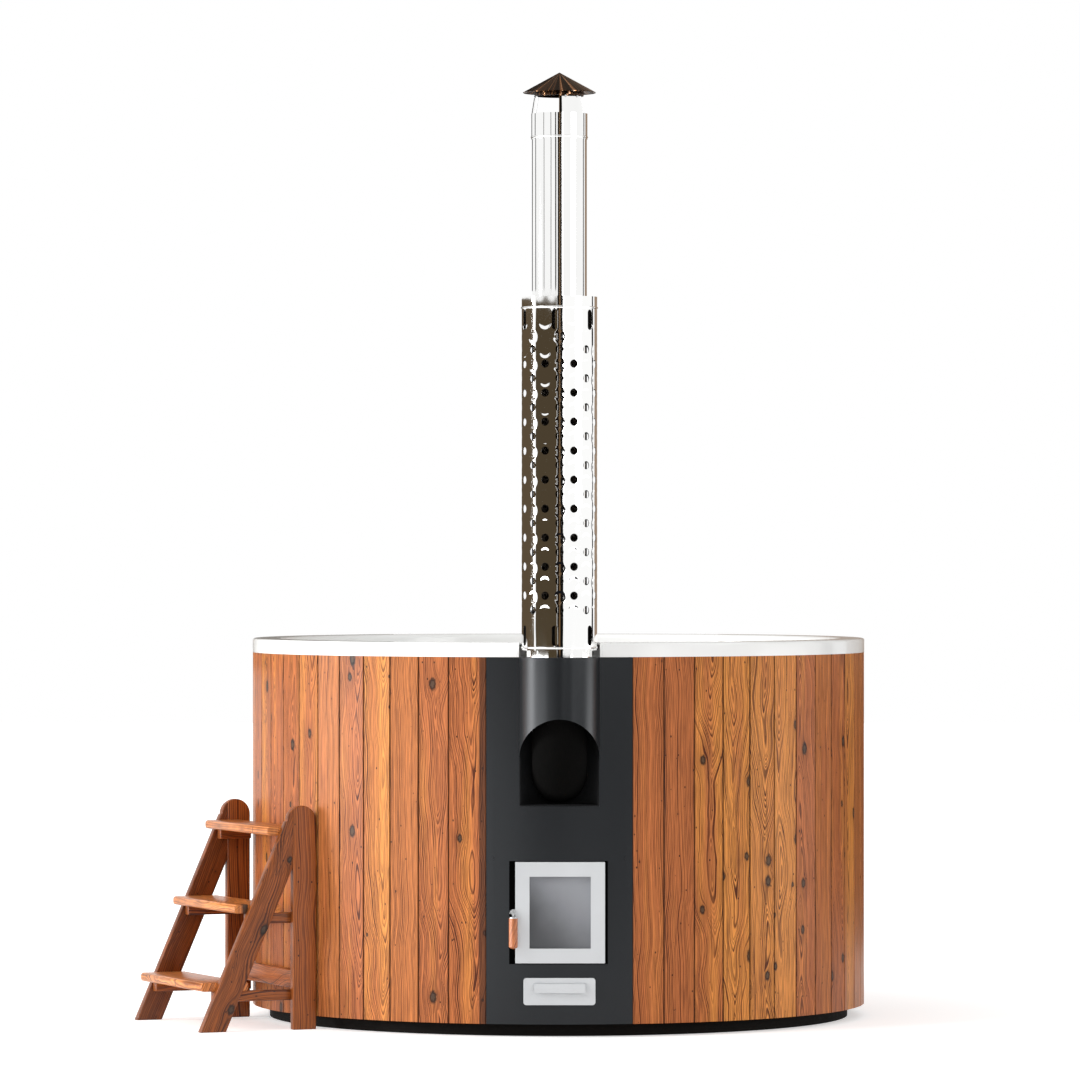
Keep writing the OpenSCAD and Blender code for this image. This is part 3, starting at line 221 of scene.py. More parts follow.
flag("flag_left_line_1", -122, -116, 2.25, 5.0, "#3a3836")
flag("flag_left_line_2", -69, -66, 2.25, 5.0, "#6a6866")
flag("flag_left_line_3", -37, -34, 2.25, 5.0, "#7d7b79")
flag("flag_left_line_4", -18, -13, 2.25, 5.0, "#4c4a48")
overhead_corners = np.array([[-2.6, 9.0, 2.6], [2.6, 9.0, 2.6], [2.6, 3.0, 9.0], [-2.6, 3.0, 9.0]])
overhead = surface("flag_overhead", overhead_corners, np.array([[0, 1, 2, 3]]))
overhead.data.materials.append(bpy.data.materials["flag_right_edge_felt"])
glossy_only(overhead)


# Cladding. 56 upright boards of heat-treated pine, planed, bevelled and oiled, nailed to rings
# behind them. Heat turns the wood red-brown; the planed face shows arched rings and dark knots.
def new_material(name):
    """A material, its node tree and the Principled shader that feeds its output."""
    material = bpy.data.materials.new(name)
    material.use_nodes = True
    return material, material.node_tree, material.node_tree.nodes["Principled BSDF"]


# Places of the share, the two colours and the result on a Mix node that is set to colours
SHARE, FROM, TO, MIXED = 0, 6, 7, 2


def pine_grain(tree, across, deep, along, board, light, red, ring_mm, knot_cell, knot_share):
    """Colour and height of a planed softwood face.

    A board is cut lengthwise through a cone of yearly rings. Close to the cone's axis the rings are
    the whole multiples of (sqrt((across - pith)^2 + tip^2) + slope * along) / ring width, which draws
    pointed arches; a pith far to one side draws straight lines. Knots are points of a cell pattern:
    lines give way to each by across - u * exp(-(distance / size)^2), and a dark disc lies on it.
    Light and red are the two tones of a board, each a pair of colours for early and late wood.
    """

    def add(kind, *inputs, **settings):
        """Adds a node to this material."""
        return add_node(tree, kind, *inputs, **settings)

    # The dice are thrown twice for each board, and each board has its own layer of the noise
    first_dice, second_dice, layer_gap = 7.31, 91.7, 3.17
    first = add("Math", board, first_dice, operation="ADD")[0]
    throw, tone, seat = add("SeparateColor", add("TexWhiteNoise", {"W": first}, noise_dimensions="1D")["Color"])
    second = add("Math", board, second_dice, operation="ADD")[0]
    lean = add("TexWhiteNoise", {"W": second}, noise_dimensions="1D")["Value"]
    layer = add("Math", board, layer_gap, operation="MULTIPLY")[0]
    place = add("CombineXYZ", across, along, layer)[0]

    def streaks(mm_across, mm_along, detail=2.0, roughness=0.5):
        """Cloudy streaks of a size across and along the board, about 0.5."""
        waves = add("Mapping", {"Vector": place, "Scale": (1000 / mm_across, 1000 / mm_along, 1.0)})[0]
        return add("TexNoise", {"Vector": waves, "Scale": 1.0, "Detail": detail, "Roughness": roughness})[0]

    # Flat is 1 for boards sawn flat, which are 58 in 100, and 0 for boards with straight rings
    straight_share, in_between = 0.42, 0.02
    flat = add("MapRange", throw, straight_share - in_between, straight_share + in_between, **s_curve)[0]

    # Knots, about a cell apart, small in straight boards and larger in flat ones. Spread is 1 at a
    # knot's edge, where noise frays it, and a ring of dark bark lies there
    board_gap, width_to_height = 9.0, 0.62
    least_knot, largest_knot = 0.0006, 0.0095
    cell_across = add("Math", seat, board_gap, across, operation="MULTIPLY_ADD")[0]
    cell_across = add("Math", cell_across, 1.0 / knot_cell, operation="MULTIPLY")[0]
    cell_along = add("Math", along, layer, operation="ADD")[0]
    cell_along = add("Math", cell_along, width_to_height / knot_cell, operation="MULTIPLY")[0]
    cell_place = add("CombineXYZ", cell_across, cell_along, 0.0)[0]
    cells = add("TexVoronoi", {"Vector": cell_place, "Scale": 1.0, "Randomness": 0.9}, voronoi_dimensions="2D")
    knot_chance = add("SeparateColor", cells["Color"])[0]
    knot_size = add("MapRange", knot_chance, 1.0 - knot_share, 1.08, least_knot, largest_knot, **s_curve)[0]
    growth = add("MapRange", flat, 0.0, 1.0, 0.2, 1.0, **s_curve)[0]
    knot_size = add("Math", knot_size, growth, operation="MULTIPLY")[0]
    knot_side = add("Math", cell_across, add("SeparateXYZ", cells["Position"])[0], operation="SUBTRACT")[0]
    spread = add("Math", cells["Distance"], knot_cell, operation="MULTIPLY")[0]
    spread = add("Math", spread, knot_size, operation="DIVIDE")[0]
    square = add("Math", spread, spread, operation="MULTIPLY")[0]
    bell = add("Math", add("Math", square, -0.16, operation="MULTIPLY")[0], operation="EXPONENT")[0]
    wide_bell = add("Math", add("Math", square, -0.05, operation="MULTIPLY")[0], operation="EXPONENT")[0]
    ragged = add("Math", spread, 0.45, operation="SUBTRACT")[0]
    ragged = add("Math", streaks(4.35, 7.14), 0.9, ragged, operation="MULTIPLY_ADD")[0]
    knot = add("MapRange", ragged, 0.6, 1.15, 1.0, 0.0, **s_curve)[0]
    bark = add("Math", add("MapRange", ragged, 0.45, 0.85, **s_curve)[0],
               add("MapRange", ragged, 0.95, 1.6, 1.0, 0.0, **s_curve)[0], operation="MULTIPLY")[0]

    # Pin knots, 2.6 mm in radius at most and 2.7 times as close together
    pin_cells, least_pin, largest_pin = 2.7, 0.00001, 0.0026
    pins = add("TexVoronoi", {"Vector": cell_place, "Scale": pin_cells, "Randomness": 1.0}, voronoi_dimensions="2D")
    pin_chance = add("SeparateColor", pins["Color"])[1]
    pin_size = add("MapRange", pin_chance, 0.7, 1.0, least_pin, largest_pin, **s_curve)[0]
    pin = add("Math", pins["Distance"], knot_cell / pin_cells, operation="MULTIPLY")[0]
    pin = add("Math", pin, pin_size, operation="DIVIDE")[0]
    pin = add("MapRange", pin, 0.5, 1.1, 1.0, 0.0, **s_curve)[0]

    # Pith, up to 35 mm aside in flat-sawn boards and 150 to 200 mm in others, and never quite straight
    side = add("Math", seat, 0.5, operation="SUBTRACT")[0]
    pith_far = add("Math", add("Math", side, operation="SIGN")[0], 0.15, operation="MULTIPLY")[0]
    pith_far = add("Math", side, 0.1, pith_far, operation="MULTIPLY_ADD")[0]
    pith_near = add("Math", side, 0.07, operation="MULTIPLY")[0]
    pith = add("Math", flat, add("Math", pith_near, pith_far, operation="SUBTRACT")[0], pith_far,
               operation="MULTIPLY_ADD")[0]
    wander = add("Math", along, 3.0, seat, operation="MULTIPLY_ADD")[0]
    wander = add("TexNoise", {"W": wander, "Scale": 1.0, "Detail": 1.0}, noise_dimensions="1D")[0]
    wander = add("Math", wander, 0.5, operation="SUBTRACT")[0]
    pith = add("Math", wander, 0.05, pith, operation="MULTIPLY_ADD")[0]

    # Distance from the pith. The lines give way to knots, slope by up to 1 in 10, drift and sway
    tip_depth = 0.006
    give_way = add("Math", add("Math", knot_side, knot_cell, operation="MULTIPLY")[0], bell, operation="MULTIPLY")[0]
    aside = add("Math", add("Math", across, give_way, operation="SUBTRACT")[0], pith, operation="SUBTRACT")[0]
    tip = add("Math", deep, tip_depth, operation="ADD")[0]
    far = add("VectorMath", add("CombineXYZ", aside, tip)[0], operation="LENGTH")["Value"]
    slope = add("Math", add("Math", lean, 0.2, -0.1, operation="MULTIPLY_ADD")[0], flat, operation="MULTIPLY")[0]
    far = add("Math", along, slope, far, operation="MULTIPLY_ADD")[0]
    drift = add("Math", along, 1.9, layer, operation="MULTIPLY_ADD")[0]
    drift = add("TexNoise", {"W": drift, "Scale": 1.0, "Detail": 2.0}, noise_dimensions="1D")[0]
    drift = add("Math", drift, flat, operation="MULTIPLY")[0]
    far = add("Math", drift, 0.09, far, operation="MULTIPLY_ADD")[0]
    slow_sway, quick_sway = streaks(62.5, 250.0), streaks(20.0, 71.4)
    for sway, straight_width, flat_width in ((slow_sway, 0.004, 0.018), (quick_sway, 0.001, 0.006)):
        width = add("MapRange", flat, 0.0, 1.0, straight_width, flat_width, **s_curve)[0]
        far = add("Math", sway, width, far, operation="MULTIPLY_ADD")[0]

    # Rings. They wander in width from year to year. Late wood darkens slowly from a seventh of the
    # year on and ends at once
    per_metre = add("MapRange", flat, 0.0, 1.0, 1200.0 / ring_mm, 1000.0 / ring_mm, **s_curve)[0]
    turns = add("Math", far, per_metre, operation="MULTIPLY")[0]
    uneven = add("Math", turns, 0.35, layer, operation="MULTIPLY_ADD")[0]
    uneven = add("TexNoise", {"W": uneven, "Scale": 1.0, "Detail": 1.0}, noise_dimensions="1D")[0]
    turns = add("Math", uneven, 2.2, turns, operation="MULTIPLY_ADD")[0]
    part = add("Math", turns, operation="FRACT")[0]
    year = add("Math", add("Math", turns, operation="FLOOR")[0], layer, operation="ADD")[0]
    year = add("TexWhiteNoise", {"W": year}, noise_dimensions="1D")["Value"]
    late = add("Math", add("MapRange", part, 0.15, 0.7, **s_curve)[0],
               add("MapRange", part, 0.86, 1.0, 1.0, 0.0, **s_curve)[0], operation="MULTIPLY")[0]

    # Colour. Fibres and resin dashes lie on slow changes of tone, and years differ in darkness. The
    # fibres are drawn 1.7 mm wide, coarser than real, so that they show
    fibre = streaks(1.667, 83.3, 3.0, 0.65)
    dash = add("MapRange", streaks(4.35, 166.7), 0.57, 0.7, **s_curve)[0]
    redness = add("Math", tone, 0.8, -0.9, operation="MULTIPLY_ADD")[0]
    redness = add("Math", streaks(52.6, 909.0), 2.0, redness, operation="MULTIPLY_ADD")[0]
    redness = add("Math", add("MapRange", redness, 0.1, 0.9, **s_curve)[0],
                  add("Math", 0.75, flat, operation="SUBTRACT")[0], operation="MAXIMUM")[0]
    early = add("Mix", {SHARE: redness, FROM: linear(light[0]), TO: linear(red[0])}, data_type="RGBA")[MIXED]
    dark = add("Mix", {SHARE: redness, FROM: linear(light[1]), TO: linear(red[1])}, data_type="RGBA")[MIXED]
    darkness = add("Math", late, add("MapRange", year, 0.0, 1.0, 0.45, 1.1, **s_curve)[0], operation="MULTIPLY")[0]
    patches = add("MapRange", streaks(22.2, 250.0), 0.25, 0.75, 0.55, 1.15, **s_curve)[0]
    darkness = add("Math", darkness, patches, operation="MULTIPLY")[0]
    for stain, strength in ((dash, 0.6), (wide_bell, 0.4)):
        stain = add("Math", stain, strength, operation="MULTIPLY")[0]
        darkness = add("Math", darkness, stain, operation="MAXIMUM")[0]
    wood = add("Mix", {SHARE: darkness, FROM: early, TO: dark}, data_type="RGBA")[MIXED]
    fine = add("MapRange", fibre, 0.25, 0.75, 0.62, 1.24, **s_curve)[0]
    wood = add("Mix", {SHARE: 1.0, FROM: wood, TO: add("CombineColor", fine, fine, fine)[0]}, data_type="RGBA",
               blend_type="MULTIPLY")[MIXED]
    for mark, strength, shade in ((knot, 0.85, "#38332a"), (bark, 0.85, "#190e07"), (pin, 0.9, "#1c120b")):
        mark = add("Math", mark, strength, operation="MULTIPLY")[0]
        wood = add("Mix", {SHARE: mark, FROM: wood, TO: linear(shade)}, data_type="RGBA")[MIXED]

    # Height. Late wood and fibres stand up, and bark lies deep
    height = add("Math", late, 0.5, add("Math", fibre, 0.6, operation="MULTIPLY")[0], operation="MULTIPLY_ADD")[0]
    height = add("Math", height, add("Math", bark, 1.2, operation="MULTIPLY")[0], operation="SUBTRACT")[0]
    return wood, height


# The boards are counted from the front panel's right side, and the last one is the closing board
cladding_r = 0.9
whole_boards = 55
half_panel_w = 0.2055
panel_a = math.asin(half_panel_w / cladding_r)
closing_a = math.radians(7.1)
board_a = (2 * math.pi - 2 * panel_a - closing_a) / whole_boards
oiled_pine, tree, shader = new_material("oiled_heat_treated_pine")
x, y, z = add_node(tree, "SeparateXYZ", add_node(tree, "TexCoord")["Object"])
turn = add_node(tree, "Math", x, add_node(tree, "Math", y, -1.0, operation="MULTIPLY")[0], operation="ARCTAN2")[0]
turn = add_node(tree, "Math", turn, 2 * math.pi, 0.0, operation="WRAP")[0]
step = add_node(tree, "Math", turn, panel_a, operation="SUBTRACT")[0]
step = add_node(tree, "Math", step, board_a, operation="DIVIDE")[0]
board = add_node(tree, "Math", step, operation="FLOOR")[0]
board = add_node(tree, "Math", board, float(whole_boards), operation="MINIMUM")[0]
board_face = add_node(tree, "Math", step, board, operation="SUBTRACT")[0]
board_face = add_node(tree, "Math", board_face, 0.5, operation="SUBTRACT")[0]
board_across = add_node(tree, "Math", board_face, board_a * cladding_r, operation="MULTIPLY")[0]
colour, height = pine_grain(tree, board_across, 0.0, z, board, ("#e59447", "#55260b"), ("#c2713f", "#562814"),
                            ring_mm=4.7, knot_cell=0.08, knot_share=0.5)

# Painted shade darkens the joint between boards over 4 in 100 of a board's width, which are 4 mm
to_edge = add_node(tree, "Math", board_face, operation="ABSOLUTE")[0]
to_edge = add_node(tree, "Math", 0.5, to_edge, operation="SUBTRACT")[0]
joint_shade = add_node(tree, "MapRange", to_edge, 0.012, 0.04, 0.75, 0.0, **s_curve)[0]
feed(shader, {
    "Base Color": add_node(tree, "Mix", {SHARE: joint_shade, FROM: colour, TO: linear("#2b160c")}, data_type="RGBA")[MIXED],
    "Roughness": 0.36, "Specular IOR Level": 0.14,
    "Normal": add_node(tree, "Bump", {"Height": height, "Strength": 0.35, "Distance": 0.0006})[0]})


def finish(material, *names):
    """Puts a material on CAD nodes."""
    for name in names:
        for slot in nodes[name].material_slots:
            slot.material = material


finish(oiled_pine, "boards_front_right", "boards_back_right", "boards_back_left", "boards_front_left")


# Frame behind the boards, bench bearer and base. Sawn spruce, nailed; the base is stained black
# against damp, and its skirt stands back under the boards, near black as a painted shade beneath the tub. The saw
# leaves the wood rough and dull.
sawn_spruce, tree, shader = new_material("sawn_spruce")
x, y, z = add_node(tree, "SeparateXYZ", add_node(tree, "TexCoord")["Object"])
colour, height = pine_grain(tree, x, y, z, 0.0, ("#c9a574", "#a67c4c"), ("#b98f60", "#94683c"),
                            ring_mm=6.0, knot_cell=0.09, knot_share=0.2)
feed(shader, {"Base Color": colour, "Roughness": 0.75,
              "Normal": add_node(tree, "Bump", {"Height": height, "Strength": 0.6, "Distance": 0.001})[0]})
finish(sawn_spruce, "cladding_rings", "rim_bearer", "frame_posts", "panel_battens", "bench_bearer",
       "bench_legs", "base_deck")


def mottled(name, shades, grain_mm, detail, inputs, dull=None, bump=None):
    """A material with cloudy spots that go from one shade to another.

    The spots are grain_mm large, or as large along x, y and z as its three sizes say. Inputs are what
    the shader is given. Dull is a pair of roughnesses that the spots go between, and bump the
    strength and the distance by which the spots rise.
    """
    material, tree, shader = new_material(name)
    place = add_node(tree, "TexCoord")["Object"]
    waves = add_node(tree, "Mapping", {"Vector": place, "Scale": tuple(np.full(3, 1000.0) / grain_mm)})[0]
    spots = add_node(tree, "TexNoise", {"Vector": waves, "Scale": 1.0, "Detail": detail})[0]
    mix = {SHARE: spots, FROM: linear(shades[0]), TO: linear(shades[1])}
    feed(shader, {"Base Color": add_node(tree, "Mix", mix, data_type="RGBA")[MIXED], **inputs})
    if dull:
        feed(shader, {"Roughness": add_node(tree, "MapRange", spots, 0.2, 0.8, *dull, **s_curve)[0]})
    if bump:
        strength, distance = bump
        raised = add_node(tree, "Bump", {"Height": spots, "Strength": strength, "Distance": distance})[0]
        feed(shader, {"Normal": raised})
    return material


# Stain sinks in unevenly along the fibres and has no shine. Its near-black is partly painted shade, for the dark gap
# beneath the tub.
finish(mottled("black_stain_and_painted_shade_spruce", ("#080706", "#16120f"), (16.67, 16.67, 4.167), 3.0,
               {"Specular IOR Level": 0.1}, dull=(0.7, 0.9)), "base_joists", "base_skirt")

# Rigid foam is cut from a block. Its cells are drawn 3.3 mm wide, coarser than real, so that they show.
foam_cell_mm = 3.333
foam, tree, shader = new_material("rigid_foam")
place = add_node(tree, "TexCoord")["Object"]
cell = add_node(tree, "TexVoronoi", {"Vector": place, "Scale": 1000 / foam_cell_mm})["Distance"]
mix = {SHARE: cell, FROM: linear("#e2d8b4"), TO: linear("#cdbf92")}
feed(shader, {"Base Color": add_node(tree, "Mix", mix, data_type="RGBA")[MIXED], "Roughness": 0.9})
finish(foam, "floor_slab")


# Liner. Three mouldings of vacuum-formed white acrylic backed with glass fibre, bonded together. It
# is glossy and faintly wavy, which shows only as soft bends in what it mirrors.
finish(mottled("vacuum_formed_acrylic", ("#f2f2f0", "#eeeeed"), 200.0, 1.0, {"Roughness": 0.12, "IOR": 1.49},
               bump=(0.3, 0.003)), "liner", "liner_footwell", "liner_hump", "port_flanges")


# Front panel and flue housing. Steel sheet rolled to the tub's curve and powder coated in anthracite.
# The coat is matt with a fine orange peel; inside the housing it is painted near black and dull, a painted shade in
# the recess, so its arch looks empty.
def from_flue(tree, x, y):
    """Distance from the flue's axis."""
    aside = add_node(tree, "Math", y, flue_y, operation="SUBTRACT")[0]
    return add_node(tree, "VectorMath", add_node(tree, "CombineXYZ", x, aside)[0], operation="LENGTH")["Value"]


peel_mm = 1.43
housing_r, housing_floor, half_blend = 0.1115, 0.6505, 0.0003
powder_coat_and_recess_shade, tree, shader = new_material("anthracite_powder_coat")
place = add_node(tree, "TexCoord")["Object"]
x, y, z = add_node(tree, "SeparateXYZ", place)
peel = add_node(tree, "TexNoise", {"Vector": place, "Scale": 1000 / peel_mm, "Detail": 2.0})[0]
within = add_node(tree, "MapRange", from_flue(tree, x, y), housing_r - half_blend, housing_r + half_blend, 1.0, 0.0,
                  **s_curve)[0]
above = add_node(tree, "MapRange", z, housing_floor - half_blend, housing_floor + half_blend, **s_curve)[0]
# Inside the housing above its floor: painted shade in the recess, near black and fully rough
recess_shade = add_node(tree, "Math", within, above, operation="MULTIPLY")[0]
coat = add_node(tree, "Mix", {SHARE: peel, FROM: linear("#0f1113"), TO: linear("#141619")}, data_type="RGBA")[MIXED]
coat = add_node(tree, "Mix", {SHARE: recess_shade, FROM: coat, TO: linear("#030303")}, data_type="RGBA")[MIXED]
feed(shader, {
    "Base Color": coat, "Specular IOR Level": 0.4, "Specular Tint": linear("#eceff3"),
    "Roughness": add_node(tree, "MapRange", recess_shade, 0.0, 1.0, 0.3, 1.0, **s_curve)[0],
    "Normal": add_node(tree, "Bump", {"Height": peel, "Strength": 0.12, "Distance": 0.0004})[0]})
finish(powder_coat_and_recess_shade, "front_panel", "flue_housing", "panel_screws")


# Stove. Welded of steel plate and sprayed with heat-proof paint, which dries dusty and without shine.
# Its grate is cast in sand, which leaves a coarse dark skin.
finish(mottled("heat_proof_stove_paint", ("#050505", "#0a0908"), 16.67, 4.0,
               {"Roughness": 0.95, "Specular IOR Level": 0.05}),
       "door_surround", "stove_legs", "ash_chute", "firebox", "stove_face", "smoke_box", "smoke_elbow")
finish(mottled("cast_iron", ("#1f1e1d", "#2f2d2b"), 1.111, 3.0, {"Metallic": 0.6, "Roughness": 0.7},
               bump=(0.5, 0.0005)), "grate")


# Flue, cowl and heat shield. Stainless steel tube, rolled, seam welded and polished to a mirror.
# The shield stands 29 mm off the flue on brackets, and its punched holes let the warm air out.
# The polishing wheel leaves long faint waves.
finish(mottled("mirror_polished_stainless_steel", ("#fcfcfb", "#f1f1f0"), (55.56, 55.56, 277.8), 2.0,
               {"Metallic": 1.0, "Roughness": 0.03}, bump=(0.12, 0.002)),
       "flue_pipe", "shield_collar", "chimney_cowl")

# The punch dishes the sheet for a few millimetres round each hole, and the reflections tear there.
# Its back is left as rolled and has gone dark. The dishes follow the CAD's staggered rows of holes,
# counted down from the top row; towards the shield's ends the sheet is flat.
shield_foot, shield_h, shield_r = 1.125, 0.989, 0.106
shield_top = shield_foot + shield_h
back_from, back_to = 0.1048, 0.1055
columns, rows = 16, 10
column_a = 2 * math.pi / columns
top_row_z, bottom_row_z = shield_top - 0.149, shield_foot + 0.111
hole_pitch = (top_row_z - bottom_row_z) / (rows - 1)
flat_above = (shield_top - 0.118, shield_top - 0.11)
flat_below = (1.204, 1.21)
hole_edge, dish_edge = 0.0105, 0.021
warp_mm = (111.1, 111.1, 200.0)
punched_steel, tree, shader = new_material("punched_mirror_stainless_steel")
place = add_node(tree, "TexCoord")["Object"]
x, y, z = add_node(tree, "SeparateXYZ", place)
back = add_node(tree, "MapRange", from_flue(tree, x, y), back_from, back_to, 1.0, 0.0, **s_curve)[0]
towards_camera = add_node(tree, "Math", add_node(tree, "Math", y, flue_y, operation="SUBTRACT")[0], -1.0,
                          operation="MULTIPLY")[0]
column = add_node(tree, "Math", x, towards_camera, operation="ARCTAN2")[0]
column = add_node(tree, "Math", column, column_a, operation="DIVIDE")[0]
column_number = add_node(tree, "Math", column, 0.5, operation="ADD")[0]
column_number = add_node(tree, "Math", column_number, operation="FLOOR")[0]
stagger = add_node(tree, "Math", column_number, 2.0, operation="MODULO")[0]
stagger = add_node(tree, "Math", stagger, operation="ABSOLUTE")[0]
stagger = add_node(tree, "Math", stagger, 0.5, operation="MULTIPLY")[0]
row = add_node(tree, "Math", top_row_z, z, operation="SUBTRACT")[0]
row = add_node(tree, "Math", row, hole_pitch, operation="DIVIDE")[0]
row = add_node(tree, "Math", row, stagger, operation="ADD")[0]
row_number = add_node(tree, "Math", add_node(tree, "Math", row, 0.5, operation="ADD")[0], operation="FLOOR")[0]
sideways = add_node(tree, "Math", column, column_number, operation="SUBTRACT")[0]
sideways = add_node(tree, "Math", sideways, column_a * shield_r, operation="MULTIPLY")[0]
upwards = add_node(tree, "Math", row, row_number, operation="SUBTRACT")[0]
upwards = add_node(tree, "Math", upwards, hole_pitch, operation="MULTIPLY")[0]
from_hole = add_node(tree, "CombineXYZ", sideways, upwards)[0]
from_hole = add_node(tree, "VectorMath", from_hole, operation="LENGTH")["Value"]
flat_sheet = add_node(tree, "MapRange", from_hole, hole_edge, dish_edge, **s_curve)[0]
for flat_end in ((*flat_above, 0.0, 1.0), (*flat_below, 1.0, 0.0)):
    flat_end = add_node(tree, "MapRange", z, *flat_end, **s_curve)[0]
    flat_sheet = add_node(tree, "Math", flat_sheet, flat_end, operation="MAXIMUM")[0]
warp = add_node(tree, "Mapping", {"Vector": place, "Scale": tuple(1000.0 / np.array(warp_mm))})[0]
warp = add_node(tree, "TexNoise", {"Vector": warp, "Scale": 1.0, "Detail": 2.0})[0]
dished = add_node(tree, "Math", warp, 1.2, flat_sheet, operation="MULTIPLY_ADD")[0]
mix = {SHARE: back, FROM: linear("#fcfcfb"), TO: linear("#3a3531")}
feed(shader, {
    "Base Color": add_node(tree, "Mix", mix, data_type="RGBA")[MIXED], "Metallic": 1.0,
    "Roughness": add_node(tree, "MapRange", back, 0.0, 1.0, 0.03, 0.5, **s_curve)[0],
    "Normal": add_node(tree, "Bump", {"Height": dished, "Strength": 0.32, "Distance": 0.0016})[0]})
finish(punched_steel, "heat_shield")

# The cap is pressed in ribs, and its colour carries near-black and brown rays: a brown heat tint and a painted
# reflection of the dark surroundings. A new ramp has stops at 0 and
# 1: the first is moved and coloured, and the last stays white.
tint_and_reflection_steel, tree, shader = new_material("heat_tint_and_painted_reflection_steel")
x, y, z = add_node(tree, "SeparateXYZ", add_node(tree, "TexCoord")["Object"])
cap_turn = add_node(tree, "Math", y, flue_y, operation="SUBTRACT")[0]
cap_turn = add_node(tree, "Math", x, cap_turn, operation="ARCTAN2")[0]
rays = add_node(tree, "Math", cap_turn, 5.0, operation="MULTIPLY")[0]
rays = add_node(tree, "TexNoise", {"W": rays, "Scale": 1.0, "Detail": 3.0, "Roughness": 0.7},
                noise_dimensions="1D")[0]
tint_and_reflection = add_node(tree, "ValToRGB", rays)[0]
stops = tint_and_reflection.node.color_ramp.elements
stops[0].position, stops[0].color = 0.34, linear("#0c0907")
for position, shade in ((0.5, "#2f2118"), (0.6, "#5f432d"), (0.67, "#c08a5a")):
    stops.new(position).color = linear(shade)
feed(shader, {"Base Color": tint_and_reflection, "Metallic": 1.0, "Roughness": 0.18,
              "Normal": add_node(tree, "Bump", {"Height": rays, "Strength": 0.5, "Distance": 0.004})[0]})
finish(tint_and_reflection_steel, "rain_cap")

# Brackets, pipes and small fittings are ground on a belt, which leaves level lines 0.6 mm apart and
# a soft shine.
finish(mottled("satin_stainless_steel", ("#c9cacb", "#b4b5b6"), (25.0, 25.0, 0.625), 2.0, {"Metallic": 1.0},
               dull=(0.24, 0.36)),
       "shield_spacers", "cap_rivets", "latch_keeper", "hinge_pins", "water_pipes", "port_grilles",
       "drain_fitting", "drain_pipe", "glass_clips", "clip_screws", "latch_spindle", "handle_arm", "ash_drawer")


# Door and drawer front. Stainless sheet and bar with a fine bead-blasted face, which looks an even
# pale grey; the edges are just broken. A low metallic value stands for its scattered shine.
bead_mm, cloud_mm = 0.833, 111.1
blasted_steel, tree, shader = new_material("bead_blasted_stainless_steel")
place = add_node(tree, "TexCoord")["Object"]
beads = add_node(tree, "TexNoise", {"Vector": place, "Scale": 1000 / bead_mm, "Detail": 2.0})[0]
clouds = add_node(tree, "TexNoise", {"Vector": place, "Scale": 1000 / cloud_mm, "Detail": 2.0})[0]
mix = {SHARE: clouds, FROM: linear("#c9cbcd"), TO: linear("#c0c2c4")}
feed(shader, {"Base Color": add_node(tree, "Mix", mix, data_type="RGBA")[MIXED], "Metallic": 0.55, "Roughness": 0.5,
              "Normal": add_node(tree, "Bump", {"Height": beads, "Strength": 0.1, "Distance": 0.0003})[0]})
finish(blasted_steel, "door_frame", "drawer_front")

# Ceramic glass with a film of soot on its back, which hides the fire, together with a painted reflection of the white
# studio that makes it paler up and to the right.
# The film is drawn as an opaque grey.
glass_z, soot_mm = 0.351, 142.9
sooty_glass_with_painted_reflection, tree, shader = new_material("sooted_glass_with_painted_reflection")
place = add_node(tree, "TexCoord")["Object"]
x, y, z = add_node(tree, "SeparateXYZ", place)
soot = add_node(tree, "TexNoise", {"Vector": place, "Scale": 1000 / soot_mm, "Detail": 3.0})[0]
soot_and_reflection = add_node(tree, "Math", z, glass_z, operation="SUBTRACT")[0]
soot_and_reflection = add_node(tree, "Math", soot_and_reflection, 4.2, operation="MULTIPLY")[0]
soot_and_reflection = add_node(tree, "Math", x, 4.0, soot_and_reflection, operation="MULTIPLY_ADD")[0]
soot_and_reflection = add_node(tree, "Math", soot_and_reflection, 0.3, operation="ADD")[0]
soot_and_reflection = add_node(tree, "Math", soot, 0.5, soot_and_reflection, operation="MULTIPLY_ADD")[0]
soot_and_reflection = add_node(tree, "MapRange", soot_and_reflection, 0.0, 1.1, **s_curve)[0]
mix = {SHARE: soot_and_reflection, FROM: linear("#47484b"), TO: linear("#909297")}
feed(shader, {"Base Color": add_node(tree, "Mix", mix, data_type="RGBA")[MIXED], "Roughness": 0.28})
finish(sooty_glass_with_painted_reflection, "door_glass")

# The seal is a rope woven of glass yarn, dull and dark with soot, with slanting strands 5 mm apart.
# The scale of a slanting wave texture is 2 pi / 10 over the strands' distance.
strand_mm = 5.236
rope, tree, shader = new_material("woven_glass_rope")
place = add_node(tree, "TexCoord")["Object"]
strands = {"Vector": place, "Scale": 2 * math.pi / 10 * 1000 / strand_mm, "Distortion": 1.0}
twist = add_node(tree, "TexWave", strands, bands_direction="DIAGONAL")["Fac"]
mix = {SHARE: twist, FROM: linear("#232322"), TO: linear("#4a4946")}
feed(shader, {"Base Color": add_node(tree, "Mix", mix, data_type="RGBA")[MIXED], "Roughness": 0.95})
finish(rope, "door_gasket")


